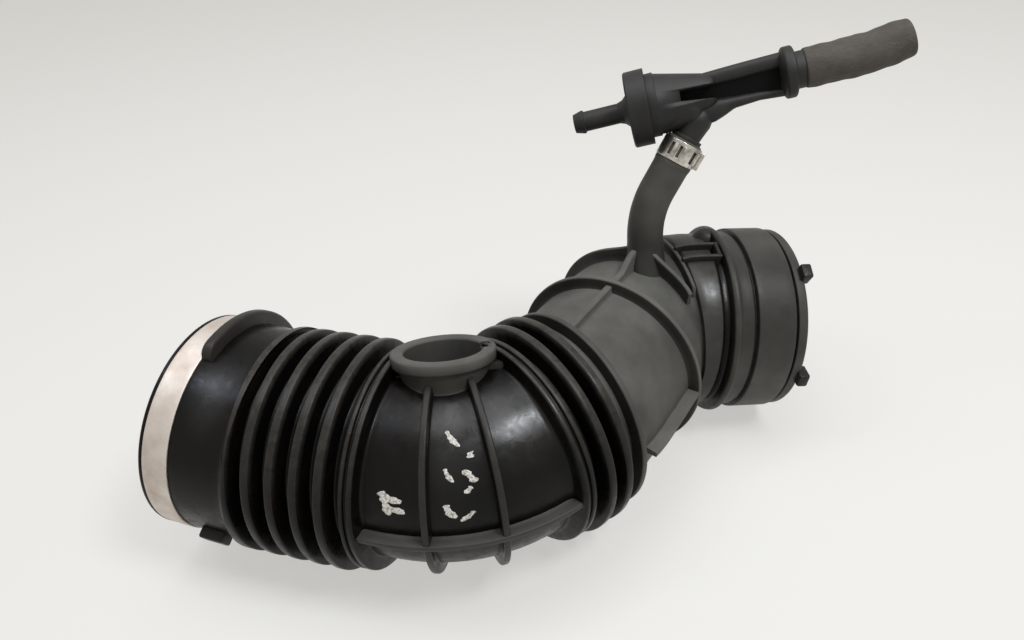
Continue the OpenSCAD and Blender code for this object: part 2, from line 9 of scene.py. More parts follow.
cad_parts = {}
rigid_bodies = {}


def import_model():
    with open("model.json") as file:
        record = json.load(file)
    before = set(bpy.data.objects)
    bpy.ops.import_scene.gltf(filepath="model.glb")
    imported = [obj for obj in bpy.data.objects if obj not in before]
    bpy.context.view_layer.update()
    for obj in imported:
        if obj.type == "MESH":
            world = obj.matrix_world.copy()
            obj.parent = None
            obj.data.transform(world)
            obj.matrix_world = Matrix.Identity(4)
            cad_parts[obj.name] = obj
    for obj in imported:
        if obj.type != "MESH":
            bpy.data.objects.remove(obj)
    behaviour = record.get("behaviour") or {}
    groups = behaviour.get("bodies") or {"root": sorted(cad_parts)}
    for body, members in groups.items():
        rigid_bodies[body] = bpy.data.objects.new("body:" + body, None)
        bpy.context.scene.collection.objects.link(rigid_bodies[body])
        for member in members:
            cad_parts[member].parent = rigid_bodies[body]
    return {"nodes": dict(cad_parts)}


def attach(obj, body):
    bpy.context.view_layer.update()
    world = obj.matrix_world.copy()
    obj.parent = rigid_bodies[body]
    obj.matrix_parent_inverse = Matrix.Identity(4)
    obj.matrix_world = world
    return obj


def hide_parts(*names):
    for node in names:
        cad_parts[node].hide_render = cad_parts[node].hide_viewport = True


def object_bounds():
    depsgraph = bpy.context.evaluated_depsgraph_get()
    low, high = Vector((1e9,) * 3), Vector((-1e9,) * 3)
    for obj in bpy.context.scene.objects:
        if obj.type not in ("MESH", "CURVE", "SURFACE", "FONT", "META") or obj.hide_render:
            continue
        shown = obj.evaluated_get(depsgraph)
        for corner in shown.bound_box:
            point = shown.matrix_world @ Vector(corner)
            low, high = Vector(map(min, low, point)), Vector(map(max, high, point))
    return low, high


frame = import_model()
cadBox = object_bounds()
nodes = frame["nodes"]
mm = 0.001


def newObject(name, data):
    made = bpy.data.objects.new(name, data)
    bpy.context.collection.objects.link(made)
    return made


# camera and surroundings

photoCamera = {
    "place": (0.19797, -0.1871, 0.20705),  # metres, in the part's own frame
    "right": (0.9598, 0.2760, -0.0515),
    "up": (-0.1177, 0.5622, 0.8185),
    "forward": (-0.2548, 0.7796, -0.5721),
    "lens": 26.0,  # mm, as is the sensor's width
    "sensor": 36.0,
    "clipStart": 0.01,
}


def placeCamera(values):
    camData = bpy.data.cameras.new("photoCamera")
    camData.lens = values["lens"]
    camData.sensor_width = values["sensor"]
    camData.clip_start = values["clipStart"]
    camera = newObject("photoCamera", camData)
    right, up, forward = (Vector(values[k]).normalized() for k in ("right", "up", "forward"))
    turn = Matrix((right, up, -forward)).transposed()
    camera.matrix_world = Matrix.Translation(values["place"]) @ turn.to_4x4()
    bpy.context.scene.camera = camera


placeCamera(photoCamera)
bpy.context.scene.view_settings.view_transform = "Standard"
print("camera placed")


def hexColour(code):
    # sRGB hex to linear: the usual curve, straight near black
    parts = [int(code[i:i + 2], 16) / 255 for i in (1, 3, 5)]
    return (*(c / 12.92 if c <= 0.04045 else ((c + 0.055) / 1.055) ** 2.4 for c in parts), 1.0)


def addNode(tree, kind, settings=None, links=None):
    # one node: plain settings by attribute name, input values by socket name or number, and links
    # as socket: (node, output), or the node alone for its first output
    node = tree.nodes.new("ShaderNode" + kind)
    for key, value in (settings or {}).items():
        if isinstance(key, str) and hasattr(node, key):
            setattr(node, key, value)
        else:
            node.inputs[key].default_value = value
    for key, link in (links or {}).items():
        source, output = link if isinstance(link, tuple) else (link, 0)
        tree.links.new(source.outputs[output], node.inputs[key])
    return node


def newMaterial(name):
    # an empty material, and the helper that adds a node to it
    material = bpy.data.materials.new(name)
    material.use_nodes = True
    material.node_tree.nodes.clear()
    return material, partial(addNode, material.node_tree)


def patternMaterial(name, *patterns, turn=None):
    # a material with noise patterns on Object coordinates, each given as millimetres, detail, roughness
    # and distortion; where two levels follow, its ramp from one to the other comes after it
    material, add = newMaterial(name)
    where = (add("TexCoord"), "Object")
    if turn:
        where = add("Mapping", turn, {"Vector": where})
    made = []
    for size, detail, rough, distortion, *levels in patterns:
        made.append(add("TexNoise", {"Scale": 1000 / size, "Detail": detail, "Roughness": rough,
                                     "Distortion": distortion}, {"Vector": where}))
        if levels:
            made.append(add("MapRange", limits("From", levels), {"Value": made[-1]}))
    return material, add, *made


def finishMaterial(material, settings, links):
    shader = addNode(material.node_tree, "BsdfPrincipled", settings, links)
    addNode(material.node_tree, "OutputMaterial", {}, {"Surface": shader})
    return material


def limits(side, span):
    # the From or To side of a map range
    return {side + " Min": span[0], side + " Max": span[1]}


def tones(*codes):
    # one or two colours of a mix; the last is the one that the factor brings in
    return {"data_type": "RGBA", **{socket: hexColour(code) for socket, code in zip((7, 6), reversed(codes))}}


studio = {
    "floorColour": "#ECEBE7",
    "floorZ": -49.575 * mm,
    "floorHalf": 6.0,
    "floorGlow": 0.62,  # share of the floor's colour that shows without light, so the shadow stays faint
    "room": "#FFF6E6",  # the room's own warm light
    "roomStrength": 0.26,
    "seen": "#FFFDF8",  # what the camera, gloss and glass see past the floor
    "seenStrength": 0.70,
}


def seenRays(add):
    # one where the ray comes from the camera, or from a mirror or glass
    ray = add("LightPath")
    seen = (ray, "Is Camera Ray")
    for kind in ("Is Glossy Ray", "Is Transmission Ray"):
        seen = add("Math", {"operation": "MAXIMUM"}, {0: seen, 1: (ray, kind)})
    return seen


def makeFloor(values):
    h = values["floorHalf"]
    z = min(values["floorZ"], cadBox[0][2])
    mesh = bpy.data.meshes.new("floor")
    mesh.from_pydata([(-h, -h, z), (h, -h, z), (h, h, z), (-h, h, z)], [], [(0, 1, 2, 3)])
    floor = newObject("floor", mesh)
    material, add = newMaterial("paleFloor")
    colour = hexColour(values["floorColour"])
    lit = add("BsdfDiffuse", {"Color": colour})
    glow = add("Emission", {"Color": colour, "Strength": 1.0})
    share = add("Math", {"operation": "MULTIPLY", 1: values["floorGlow"]}, {0: seenRays(add)})
    shader = add("MixShader", {}, {0: share, 1: lit, 2: glow})
    add("OutputMaterial", {}, {"Surface": shader})
    mesh.materials.append(material)


def makeWorld(values):
    world = bpy.data.worlds.new("studio")
    bpy.context.scene.world = world
    world.use_nodes = True
    world.node_tree.nodes.clear()
    add = partial(addNode, world.node_tree)
    soft, shown = (add("Background", {"Color": hexColour(values[k]), "Strength": values[k + "Strength"]})
                   for k in ("room", "seen"))
    mix = add("MixShader", {}, {0: seenRays(add), 1: soft, 2: shown})
    add("OutputWorld", {}, {"Surface": mix})


def makeLamp(name, place, target, size, power, colour):
    lampData = bpy.data.lights.new(name, "AREA")
    lampData.color = hexColour(colour)[:3]
    lampData.shape = "RECTANGLE"
    lampData.size, lampData.size_y = size
    lampData.energy = power
    lamp = newObject(name, lampData)
    lamp.location = place
    lamp.rotation_euler = (Vector(target) - Vector(place)).to_track_quat("-Z", "Y").to_euler()


lamps = {
    "ceiling": {"place": (0.06, 0.12, 1.05), "target": (0.10, 0.05, 0), "size": (0.75, 0.65), "power": 5.2,
                "colour": "#FBFCFF"},
    "windowRight": {"place": (0.66, -0.10, 0.93), "target": (0.14, 0.03, 0), "size": (0.30, 0.26), "power": 6.6,
                    "colour": "#F6FAFF"},
    "windowLeft": {"place": (-0.40, -0.12, 0.9), "target": (0.05, 0.0, 0), "size": (0.22, 0.2), "power": 1.3,
                   "colour": "#E4EDFF"},
}

makeFloor(studio)
makeWorld(studio)
for lampName, lampValues in lamps.items():
    makeLamp(lampName, **lampValues)
print("studio built")


# shapes worked out as whole arrays

def roundedLine(points, radii, steps=3, closed=False, longest=1e9):
    # Each corner is cut back by its radius and bridged by (1-t)^2 first + 2t(1-t) corner + t^2 second,
    # and what is still longer than the longest length is split evenly.
    p = np.asarray(points, float)
    r = np.array(np.broadcast_to(np.asarray(radii, float), len(p)))
    if not closed:
        r[[0, -1]] = 0
    back, on = np.roll(p, 1, 0) - p, np.roll(p, -1, 0) - p
    backLen, onLen = (np.maximum(np.linalg.norm(k, axis=1), 1e-9) for k in (back, on))
    cut = np.minimum(r, 0.49 * np.minimum(backLen, onLen))
    first, second = p + back * (cut / backLen)[:, None], p + on * (cut / onLen)[:, None]
    t = np.linspace(0, 1, steps + 1)[None, :, None]
    line = ((1 - t) ** 2 * first[:, None] + 2 * t * (1 - t) * p[:, None] + t ** 2 * second[:, None])
    line = line.reshape(-1, p.shape[1])
    keep = np.linalg.norm(line - np.roll(line, 1, 0), axis=1) > 1e-5
    if not closed:
        keep[0] = True
    line = line[keep]
    ahead = np.roll(line, -1, 0) - line
    pieces = np.maximum(1, np.ceil(np.linalg.norm(ahead, axis=1) / longest)).astype(int)
    if not closed:
        pieces[-1] = 1
    index = np.repeat(np.arange(len(line)), pieces)
    inside = np.arange(pieces.sum()) - np.repeat(np.cumsum(pieces) - pieces, pieces)
    return line[index] + ahead[index] * (inside / pieces[index])[:, None]


def circleAngles(count):
    return np.linspace(0, 2 * np.pi, count, endpoint=False)


def towards(a, x, y):
    # the direction at an angle from x towards y
    return np.cos(a) * x + np.sin(a) * y


def rectangle(x0, x1, y0, y1):
    return [(x0, y0), (x0, y1), (x1, y1), (x1, y0)]


def readTable(x, table):
    # straight lines between the (x, value) pairs of a table
    return np.interp(x, *np.transpose(table))


def smoothStep(t):
    # 3t^2 - 2t^3
    return t * t * (3 - 2 * t)


def onFrame(place, forward, across, up):
    # the point at a length, a width and a height in a local frame, in millimetres
    return lambda l, w, h: place + l[..., None] * forward + w[..., None] * across + h[..., None] * up


def gridShape(points, wrapRows=False, **data):
    # a grid of points, closed round its columns, becomes four-sided faces; where its rows aren't
    # closed too, both ends get a fan
    rows, cols = points.shape[:2]
    i, j = np.arange(rows if wrapRows else rows - 1)[:, None], np.arange(cols)[None]
    i2, j2 = (i + 1) % rows, (j + 1) % cols
    quads = np.stack(np.broadcast_arrays(i * cols + j, i * cols + j2, i2 * cols + j2, i2 * cols + j), -1)
    verts = points.reshape(-1, 3)
    values = {k: np.broadcast_to(v, (rows, cols)).reshape(-1) for k, v in data.items()}
    tris = np.zeros((0, 3), int)
    if not wrapRows:
        n, last, k, k2 = len(verts), (rows - 1) * cols, np.arange(cols), (np.arange(cols) + 1) % cols
        tris = np.concatenate([np.stack([np.full(cols, n), k2, k], -1),
                               np.stack([np.full(cols, n + 1), last + k, last + k2], -1)])
        verts = np.concatenate([verts, points[0].mean(0)[None], points[-1].mean(0)[None]])
        values = {k: np.concatenate([v, v[:1], v[-1:]]) for k, v in values.items()}
    return {"verts": verts, "quads": quads.reshape(-1, 4), "tris": tris, "data": values}


def joinShapes(shapes):
    starts = np.cumsum([0] + [len(s["verts"]) for s in shapes])
    names = {k for s in shapes for k in s["data"]}
    return {
        "verts": np.concatenate([s["verts"] for s in shapes]),
        **{key: np.concatenate([s[key] + n for s, n in zip(shapes, starts)]) for key in ("quads", "tris")},
        "data": {k: np.concatenate([s["data"].get(k, np.zeros(len(s["verts"]))) for s in shapes]) for k in names}}


def makeMesh(name, shape, sharpAngle=40):
    mesh = bpy.data.meshes.new(name)
    mesh.from_pydata((shape["verts"] * mm).tolist(), [], shape["quads"].tolist() + shape["tris"].tolist())
    outward = bmesh.new()
    outward.from_mesh(mesh)
    bmesh.ops.recalc_face_normals(outward, faces=outward.faces)
    outward.to_mesh(mesh)
    outward.free()
    for key, values in shape["data"].items():
        mesh.attributes.new(key, "FLOAT", "POINT").data.foreach_set("value", values.astype(np.float32))
    mesh.shade_smooth()
    mesh.set_sharp_from_angle(angle=math.radians(sharpAngle))
    return mesh


def addPiece(name, shape, material, slotName, *replaced):
    piece = newObject(name, makeMesh(name, shape))
    piece.data.materials.append(material)
    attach(piece, "root")
    if replaced:
        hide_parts(*replaced)
    return piece


def ductPiece(name, shape):
    return addPiece(name, shape, ductRubber, "duct_rubber", "duct")


def cutHoles(piece, cutters):
    # closed cutter shapes are taken out of a closed piece, and the result is kept
    tool = newObject("cutter", makeMesh("cutter", joinShapes(cutters)))
    modifier = piece.modifiers.new("holes", "BOOLEAN")
    modifier.operation = "DIFFERENCE"
    modifier.solver = "EXACT"
    modifier.object = tool
    graph = bpy.context.evaluated_depsgraph_get()
    cut = bpy.data.meshes.new_from_object(piece.evaluated_get(graph))
    piece.modifiers.clear()
    old, piece.data = piece.data, cut
    bpy.data.batch_remove([old, tool, tool.data])


# the duct's path: straight, left bend, straight, small kink, straight, right elbow, outlet cuff

ductPath = {
    "firstCrest": (37.128, 0.0, -3.575),  # millimetres; distances below are measured on from here
    "mouth": -37.3,
    "bendStart": 57.2,
    "bendEnd": 96.784,
    "kinkStart": 119.384,
    "elbowStart": 132.928,
    "elbowBend": 177.828,
    "outletStart": 213.642,
    "outletMouth": 258.442,
    "headings": (0, 54, 73.4, 22.1),  # degrees to the left, after each bend
    "cuffTilt": 5.5,  # degrees, rising towards the inlet mouth
    "tiltEase": 0.4,
    "outletDip": 5.0,  # degrees, falling towards the outlet mouth
    "dipEase": 2,
    "outletLift": 1.12,
    "liftEase": 16,
    "tableEnds": (-60, 300),
    "step": 0.1,
}


def pathTable(v):
    # headings change evenly along each bend, and the place is the running sum of short steps
    along = np.arange(*v["tableEnds"], v["step"])
    bends = [v[k] for k in ("bendStart", "bendEnd", "kinkStart", "elbowStart", "elbowBend", "outletStart")]
    h, out = v["headings"], v["outletStart"]
    heading = np.radians(np.interp(along, bends, [h[0], h[1], h[1], h[2], h[2], h[3]]))
    dip = np.radians(readTable(along, ((-v["tiltEase"], v["cuffTilt"]), (v["tiltEase"], 0), (out - v["dipEase"], 0),
                                       (out, v["outletDip"]))))
    forward = np.stack([np.cos(dip) * np.cos(heading), np.cos(dip) * np.sin(heading), -np.sin(dip)], -1)
    left = np.stack([-np.sin(heading), np.cos(heading), 0 * heading], -1)
    middle = (forward[1:] + forward[:-1]) / 2
    place = np.concatenate([np.zeros((1, 3)), np.cumsum(middle * v["step"], 0)])
    start = np.array([np.interp(0, along, place[:, k]) for k in range(3)])
    place = place - start + np.array(v["firstCrest"])
    place[:, 2] += readTable(along, ((out - v["liftEase"], 0), (out, v["outletLift"])))
    return along, place, forward, left


pathAlong, pathPlace, pathForward, pathLeft = pathTable(ductPath)


def ductFrame(along):
    # place, forward, left and up at distances along the duct, read from the table
    along = np.asarray(along, float)
    read = lambda table: np.stack([np.interp(along, pathAlong, table[:, k]) for k in range(3)], -1)
    place, forward, left = read(pathPlace), read(pathForward), read(pathLeft)
    forward /= np.linalg.norm(forward, axis=-1, keepdims=True)
    left /= np.linalg.norm(left, axis=-1, keepdims=True)
    return place, forward, left, np.cross(forward, left)


def aroundDuct(along, offset, radius, angle):
    # the point at a distance along the duct, then straight on by an offset, at a radius and an
    # angle about the axis: 0 on the left (far) side, 90 on top, 180 on the right (near) side
    place, forward, left, up = ductFrame(along)
    offset, radius, angle = (np.asarray(v, float)[..., None] for v in (offset, radius, angle))
    return place + offset * forward + radius * towards(angle, left, up)


def ductSide(along, angle):
    # place, forward, radial and across where the skin faces one angle about the axis
    place, forward, left, up = ductFrame(along)
    a = math.radians(angle)
    return place, forward, towards(a, left, up), towards(a, up, -left)


def onDuct(at, angle, ahead=0.0):
    # a local frame on the duct: along, across and radial
    place, forward, radial, across = ductSide(at, angle)
    return onFrame(place + ahead * forward, forward, across, radial)


# materials

mouldedRubber = {
    "deep": "#050506",  # clean moulded black
    "brown": "#0E0A07",  # the brown cast of aged rubber
    "dust": "#62615C",  # greenish grey dust on the matt elbow; also laid on the outlet as painted light
    "worn": "#4A4743",  # scuffed crest tops
    "gloss": (0.26, 0.42),  # roughness from handled to untouched
    "matt": 0.58,
    "polish": -0.05,
    "sheen": (0.34, 1.0),
    "dustShare": (0.6, 0.95), "wornShare": (0.45, 0.75),
    # millimetres, detail, roughness, distortion and levels
    "tone": (22, 3, 0.55, 0, 0.35, 0.65),  # patches of tone
    "smudge": (5, 4, 0.6, 0.6, 0.38, 0.66),  # handling marks in the gloss
    "grain": (0.5, 2, 0.5, 0),  # moulded grain, drawn as coarse as it needs to show
    "grainBump": {"Strength": 0.25, "Distance": 0.00006},
    "waveBump": {"Strength": 0.16, "Distance": 0.0004},
}


def makeRubber(name, v, dusty=0.0):
    # moulded EPDM rubber: satin black, faintly brown, wiped glossy where it is handled, scuffed
    # grey along the crests, and dull with greenish dust on the elbow and the branch pipe; the same dust layer
    # also carries painted light: painted highlight and floor reflection, and painted shade where it is left off
    material, add, _, toneRamp, smudge, smudgeRamp, grain = patternMaterial(name, v["tone"], v["smudge"], v["grain"])
    dust, worn, wiped = ((add("Attribute", {"attribute_name": k}), "Fac") for k in ("dust", "worn", "wiped"))
    dust = add("Math", {"operation": "ADD", 1: dusty, "use_clamp": True}, {0: dust})
    colour = add("Mix", tones(v["deep"], v["brown"]), {0: toneRamp})
    for key, level, patch in (("dust", dust, toneRamp), ("worn", worn, smudgeRamp)):
        share = add("MapRange", limits("To", v[key + "Share"]), {"Value": patch})
        amount = add("Math", {"operation": "MULTIPLY"}, {0: level, 1: share})
        colour = add("Mix", tones(v[key]), {0: amount, 6: (colour, 2)})
    satin = add("MapRange", limits("To", v["gloss"]), {"Value": smudgeRamp})
    dulled = add("Mix", {"data_type": "FLOAT", 3: v["matt"]}, {0: dust, 2: satin})
    wipedPatch = add("Math", {"operation": "MULTIPLY"}, {0: wiped, 1: toneRamp})
    polished = add("Math", {"operation": "MULTIPLY_ADD", 1: v["polish"]}, {0: wipedPatch, 2: dulled})
    sheen = add("MapRange", limits("To", v["sheen"]), {"Value": wiped})
    bump = add("Bump", v["grainBump"], {"Height": grain})
    wave = add("Bump", v["waveBump"], {"Height": smudge, "Normal": bump})
    return finishMaterial(material, {"IOR": 1.32}, {"Base Color": (colour, 2), "Roughness": polished,
                                                    "Specular IOR Level": sheen, "Normal": wave})


ductRubber = makeRubber("mouldedRubber", mouldedRubber)
print("rubber made")


# the duct's skin: one closed wall, outside forwards and inside back

ductSkin = {
    "around": 144,
    "bodyR": 38.0,
    "elbowR": 39.0,
    "wall": 2.8,
    "crestR": 46.0,
    "endCrestR": 44.0,
    "crestTop": 1.6,  # half widths of a crest at its top and root
    "crestRoot": 2.4,
    "inletPitch": 9.6,
    "outletCrests": (11.7, 20.2),
    "cuff": {"bore": 40.0, "lip": 44.2, "lipWidth": 1.6, "seat": 43.4, "seatEnd": -25.0, "body": 43.6},
    "barrel": 41.0,
    "outletBore": 38.0,
    "edge": 0.7,
    "corner": 0.9,
    # groove, bead, clamp seat and end bead of the outlet cuff: distance past its start, radius, corner radius
    "outletLine": ((6.4, 41.0, 0.7), (7.1, 39.6, 0.8), (10.0, 39.6, 0.8), (10.4, 43.9, 0.8), (11.7, 44.6, 0.8),
                   (13.2, 44.6, 0.9), (14.7, 41.8, 1.0), (20.4, 41.8, 0.5), (20.9, 41.0, 0.3), (21.5, 41.0, 0.2),
                   (21.9, 43.2, 0.5), (38.7, 43.2, 0.5), (39.2, 41.0, 0.3), (39.9, 41.0, 0.2), (40.3, 42.4, 0.4),
                   (43.9, 42.4, 0.6)),
    "rim": 41.6,
    # how scuffed and dusty the outlet is, with the dust left out of its grooves as painted shade, and how much
    # painted light it gets low down and on top: distance past its start, amount
    "outletWorn": ((-3, 0.45), (6, 0.45), (7, 0), (22, 0.4), (38, 0.4), (39, 0.3)),
    "outletDustGrooveShade": ((-30, 1), (-4, 0.4), (6.2, 0.25), (7, 0), (10.2, 0), (11, 0.4), (20.2, 0.3), (20.6, 0),
                   (21.8, 0), (22.2, 0.35), (38.6, 0.35), (39, 0), (40.1, 0), (40.6, 0.45)),
    "outletPaintedLight": ((11, 0), (13, 0.5), (20, 0.5), (22, 1), (38, 1), (40, 0.6)),
    "wiped": ((88, 9, 122, 20), (72, 5, 125, 26), (-14, 6, 122, 14), (217, 6, 130, 15)),  # along, reach, angle, reach
}


def skinOutline(v, path):
    # outside (distance, radius, corner radius) from the inlet mouth to the outlet mouth
    b, e, top, root, k = v["bodyR"], v["edge"], v["crestTop"], v["crestRoot"], v["corner"]
    c, m, end, out = v["cuff"], path["mouth"], path["bendEnd"], path["outletStart"]
    crest = lambda at: [(at - root, b, k), (at - top, v["crestR"], e), (at + top, v["crestR"], e), (at + root, b, k)]
    line = [(m, c["bore"], 0), (m, c["lip"], 0.8), (m + c["lipWidth"], c["lip"], 0.5),
            (m + c["lipWidth"], c["seat"], 0.2), (c["seatEnd"], c["seat"], 0.2), (c["seatEnd"], c["body"], 0.2),
            (-3.1, c["body"], 1.5)] + crest(0)[1:]
    for i in range(1, 5):
        line += crest(i * v["inletPitch"])
    d, r = 5 * v["inletPitch"], v["endCrestR"]
    double = lambda at: [(at - 0.4, r, 0.4), (at, r - 1.2, 0.3), (at + 0.8, r - 1.2, 0.3), (at + 1.2, r, 0.4)]
    line += [(d - 3.2, b, k), (d - 2.6, r, e)] + double(d - 0.6) + [(d + 2.6, r, e), (d + 3.2, b, 1.2)]
    line += [(end - 0.9, b, 1.2), (end - 0.1, r, e)] + double(end + 2.0) + [(end + 5.2, r, e), (end + 5.8, b, k)]
    for at in v["outletCrests"]:
        line += crest(end + at)
    line[-1] = (end + v["outletCrests"][1] + 2.3, v["elbowR"], 1.0)
    line += [(out - 4.6, v["elbowR"], 1.2), (out - 3.6, v["barrel"], k)]
    line += [(out + at, radius, corner) for at, radius, corner in v["outletLine"]]
    return np.array(line + [(path["outletMouth"], v["rim"], 0.6), (path["outletMouth"], v["outletBore"], 0)])


def skinBore(v, path):
    # inside (distance, radius) from the outlet mouth back to the inlet mouth, with the crests' folds
    b, end, out = v["bodyR"] - v["wall"], path["bendEnd"], path["outletStart"]
    e, top = v["elbowR"] - v["wall"], v["crestR"] - 2
    line = [(path["outletMouth"], v["outletBore"]), (out - 2, v["outletBore"]), (out - 2.6, e),
            (path["kinkStart"] + 1, e), (path["kinkStart"] + 0.4, b)]
    crests = [i * v["inletPitch"] for i in range(5)] + [end + at for at in v["outletCrests"]]
    for at in reversed(crests):
        line += [(at + 1.3, b), (at + 0.6, top), (at - 0.6, top), (at - 1.3, b)]
    return np.array(line + [(-4.2, b), (-4.5, v["cuff"]["bore"]), (path["mouth"], v["cuff"]["bore"])])


def revolveSkin(v, path):
    # point = place(s) + r (cos a left + sin a up), for every (s, r) of the closed outline and angle a
    outside, inside = skinOutline(v, path), skinBore(v, path)
    outer = roundedLine(outside[:, :2], outside[:, 2], 3, longest=3.2)
    inner = roundedLine(inside, 0, 1, longest=4.5)
    outline = np.concatenate([outer, inner[1:-1]])
    s, r = outline[:, :1], outline[:, 1:]
    a = circleAngles(v["around"])[None]
    deg = np.degrees(a)
    isOuter = (np.arange(len(outline)) < len(outer))[:, None]
    end, past = path["bendEnd"], s - path["outletStart"]
    near = lambda angle, width: np.exp(-((deg - angle) / width) ** 2)
    # scuffed on the crests, most on top, hardly at mid height and a little near the ground
    scuffed = 0.04 + 0.96 * np.clip(1.2 * np.sin(a) - 0.22, 0, 1) + 0.3 * near(226, 20)
    onCrests = isOuter & (s > -2) & ((s < 5.4 * v["inletPitch"]) | ((s > end - 1) & (s < end + 24)))
    worn = np.where(onCrests, np.clip((r - (v["endCrestR"] - 0.5)) / 0.5, 0, 1) * scuffed, 0)
    # browner and a little scuffed along the outlet barrel and its clamp seat
    worn = np.where(isOuter & (past > -4), readTable(past, v["outletWorn"]), worn)
    # dusty from the outlet bellows on, but not in the outlet's grooves, which is painted shade there
    start = end - path["outletStart"]
    dust = readTable(past, ((start + 21, 0), (start + 25, 1), *v["outletDustGrooveShade"])) * isOuter
    # where it has been wiped: each patch falls off as exp(-(along/length)^2 - (round/width)^2)
    wiped = sum(np.exp(-((s - at) / length) ** 2) * near(angle, width) for at, length, angle, width in v["wiped"])
    # the elbow is darker on its near side; the outlet gets the dust colour low down as a painted floor
    # reflection and on top as a painted highlight; and wiping takes the dust off
    paintedLowTopLight = readTable(past, v["outletPaintedLight"]) * (dust > 0)
    dust = dust * (1 - 0.28 * near(165, 35) * (past < -4)) + paintedLowTopLight * (0.6 * near(194, 22) + 0.4 * near(92, 15))
    dust = dust * (1 - 0.85 * np.clip(wiped, 0, 1))
    return gridShape(aroundDuct(s, 0, r, a), wrapRows=True, worn=worn, dust=dust, wiped=np.where(isOuter, wiped, 0))


skin = ductPiece("ductSkin", revolveSkin(ductSkin, ductPath))
print("skin built:", len(skin.data.polygons), "faces")


# ribs, flanges and lugs

body, elbow = ductSkin["bodyR"], ductSkin["elbowR"]
thin, firstRing = 126.784, 163.328  # distances of the thin crest and the elbow's first ring
middleRing = {"base": body, "high": 42.0, "thick": 2.6, "startTaper": 0, "dust": 0.12}

ductRibs = {
    "rings": (
        # on the middle bend, from the port's neck down
        {"at": 66.8, "start": 93.5, "sweep": 211.5, **middleRing},
        {"at": 81.1, "start": 90.5, "sweep": 214.5, **middleRing},
        # the thin crest stands square to the stretch before the kink
        {"at": ductPath["kinkStart"], "ahead": thin - ductPath["kinkStart"], "base": elbow - 0.3, "high": 44.0,
         "thick": 2.6, "dust": 0.6},
        {"at": firstRing, "base": elbow, "high": 44.0, "thick": 2.6, "dust": 1.0},
        # open in the crease of the bend, and slanting: angles, and its distance along the duct there
        {"slant": ((420, 452, 490), (186.4, 189.2, 195.6)), "base": elbow, "high": 44.6, "thick": 2.2, "start": 200,
         "sweep": 294, "taper": 6, "startTaper": 14, "climb": (92, 11, 4.0), "dust": 1.0},
        {"at": 206.6, "base": elbow, "high": 42.3, "thick": 1.8, "start": 40, "sweep": 93, "taper": 8, "dust": 0.8}),
    "flanges": (
        {"start": 50.4, "end": ductPath["bendEnd"] + 0.4, "angle": 180, "base": body, "high": 42.5, "thick": 2.4,
         "dust": 0.4},
        {"start": thin, "end": 187.6, "angle": 90, "base": elbow, "high": 41.8, "thick": 3.0, "climb": (173, 12, 5.5),
         "dust": 1.0},
        {"start": thin, "end": firstRing, "angle": 180, "base": elbow, "high": 43.8, "thick": 2.4, "dust": 1.0}),
}


def ribSection(half, base, high, sink, flare, radii, steps):
    # a rib's outline across: foot spread by the flare and sunk in the skin, upright sides and a flat top
    foot = base - sink
    line = [(-half - flare, foot), (-half, base + flare - 0.1), (-half, high)]
    line += [(-x, y) for x, y in reversed(line)]
    return roundedLine(line, [0, *radii, *reversed(radii), 0], steps, closed=True)


def ribTop(section, high):
    # one over the last part of a rib's height, where it is scuffed, and where a ring rib keeps most of its dust colour
    # as a painted highlight
    return np.clip((section[None, :, 1] - (high - 0.8)) / 0.8, 0, 1)


def ringRib(base, high, thick, at=0.0, start=0.0, sweep=360.0, ahead=0.0, dust=0.0, taper=9.0, startTaper=None,
            climb=None, slant=None):
    # a rounded section with a flared foot carried round the duct's axis; an open ring sinks at its ends:
    # radius = foot + (section - foot) * rise(angle)
    foot = base - 1.2
    section = ribSection(thick / 2, base, high, 1.2, 1.1, [1.4, 0.75], 4)
    whole = sweep >= 360
    count = int(sweep / 2.5)
    a = np.linspace(0, sweep, count, endpoint=not whole)
    first = np.ones(count) if startTaper == 0 else a / (startTaper or taper)
    rise = smoothStep(np.ones(count) if whole else np.clip(np.minimum(first, (sweep - a) / taper), 0, 1))
    if climb:  # angle, half width in degrees and extra height, up the branch pipe
        off = (start + a - climb[0] + 180) % 360 - 180
        rise = rise * (1 + climb[2] / (high - foot) * np.exp(-(off / climb[1]) ** 2))
    radius = foot + (section[None, :, 1] - foot) * (0.05 + 0.95 * rise[:, None])
    where = np.interp(start + a, *slant) if slant else np.full(count, float(at))
    points = aroundDuct(where[:, None], section[None, :, 0] + ahead, radius, np.radians(start + a)[:, None])
    edge = ribTop(section, high)
    # the dust colour is held mostly to the rib's outer edge: dust, with a painted highlight on the edge and painted
    # shade on its sides
    return gridShape(points, wrapRows=whole, worn=0.5 * edge * (1 - dust), dust=dust * (0.3 + 0.7 * edge))


def flangeRib(start, end, angle, base, high, thick, dust=0.0, climb=None):
    # a rounded section stood on the skin at one angle and carried along the duct:
    # point = place(s) + radial * height + sideways * width; it may climb towards its end
    section = ribSection(thick / 2, base, high, 1.0, 0.9, [1.1, 0.7], 3)
    s = np.linspace(start, end, max(3, int((end - start) / 1.2)))
    place, _, radial, across = ductSide(s, angle)
    lift = np.ones(len(s))
    if climb:  # where it starts to climb, over what length, and how high
        lift = 1 + climb[2] / (high - base + 1) * smoothStep(np.clip((s - climb[0]) / climb[1], 0, 1))
    height = base - 1 + (section[None, :, 1] - base + 1) * lift[:, None]
    points = place[:, None] + height[..., None] * radial[:, None] + section[None, :, 0, None] * across[:, None]
    return gridShape(points, worn=0.5 * ribTop(section, high) * (1 - dust), dust=dust)


ribShapes = [ringRib(**v) for v in ductRibs["rings"]] + [flangeRib(**v) for v in ductRibs["flanges"]]
ductPiece("ductRibs", joinShapes(ribShapes))
print("ribs built")


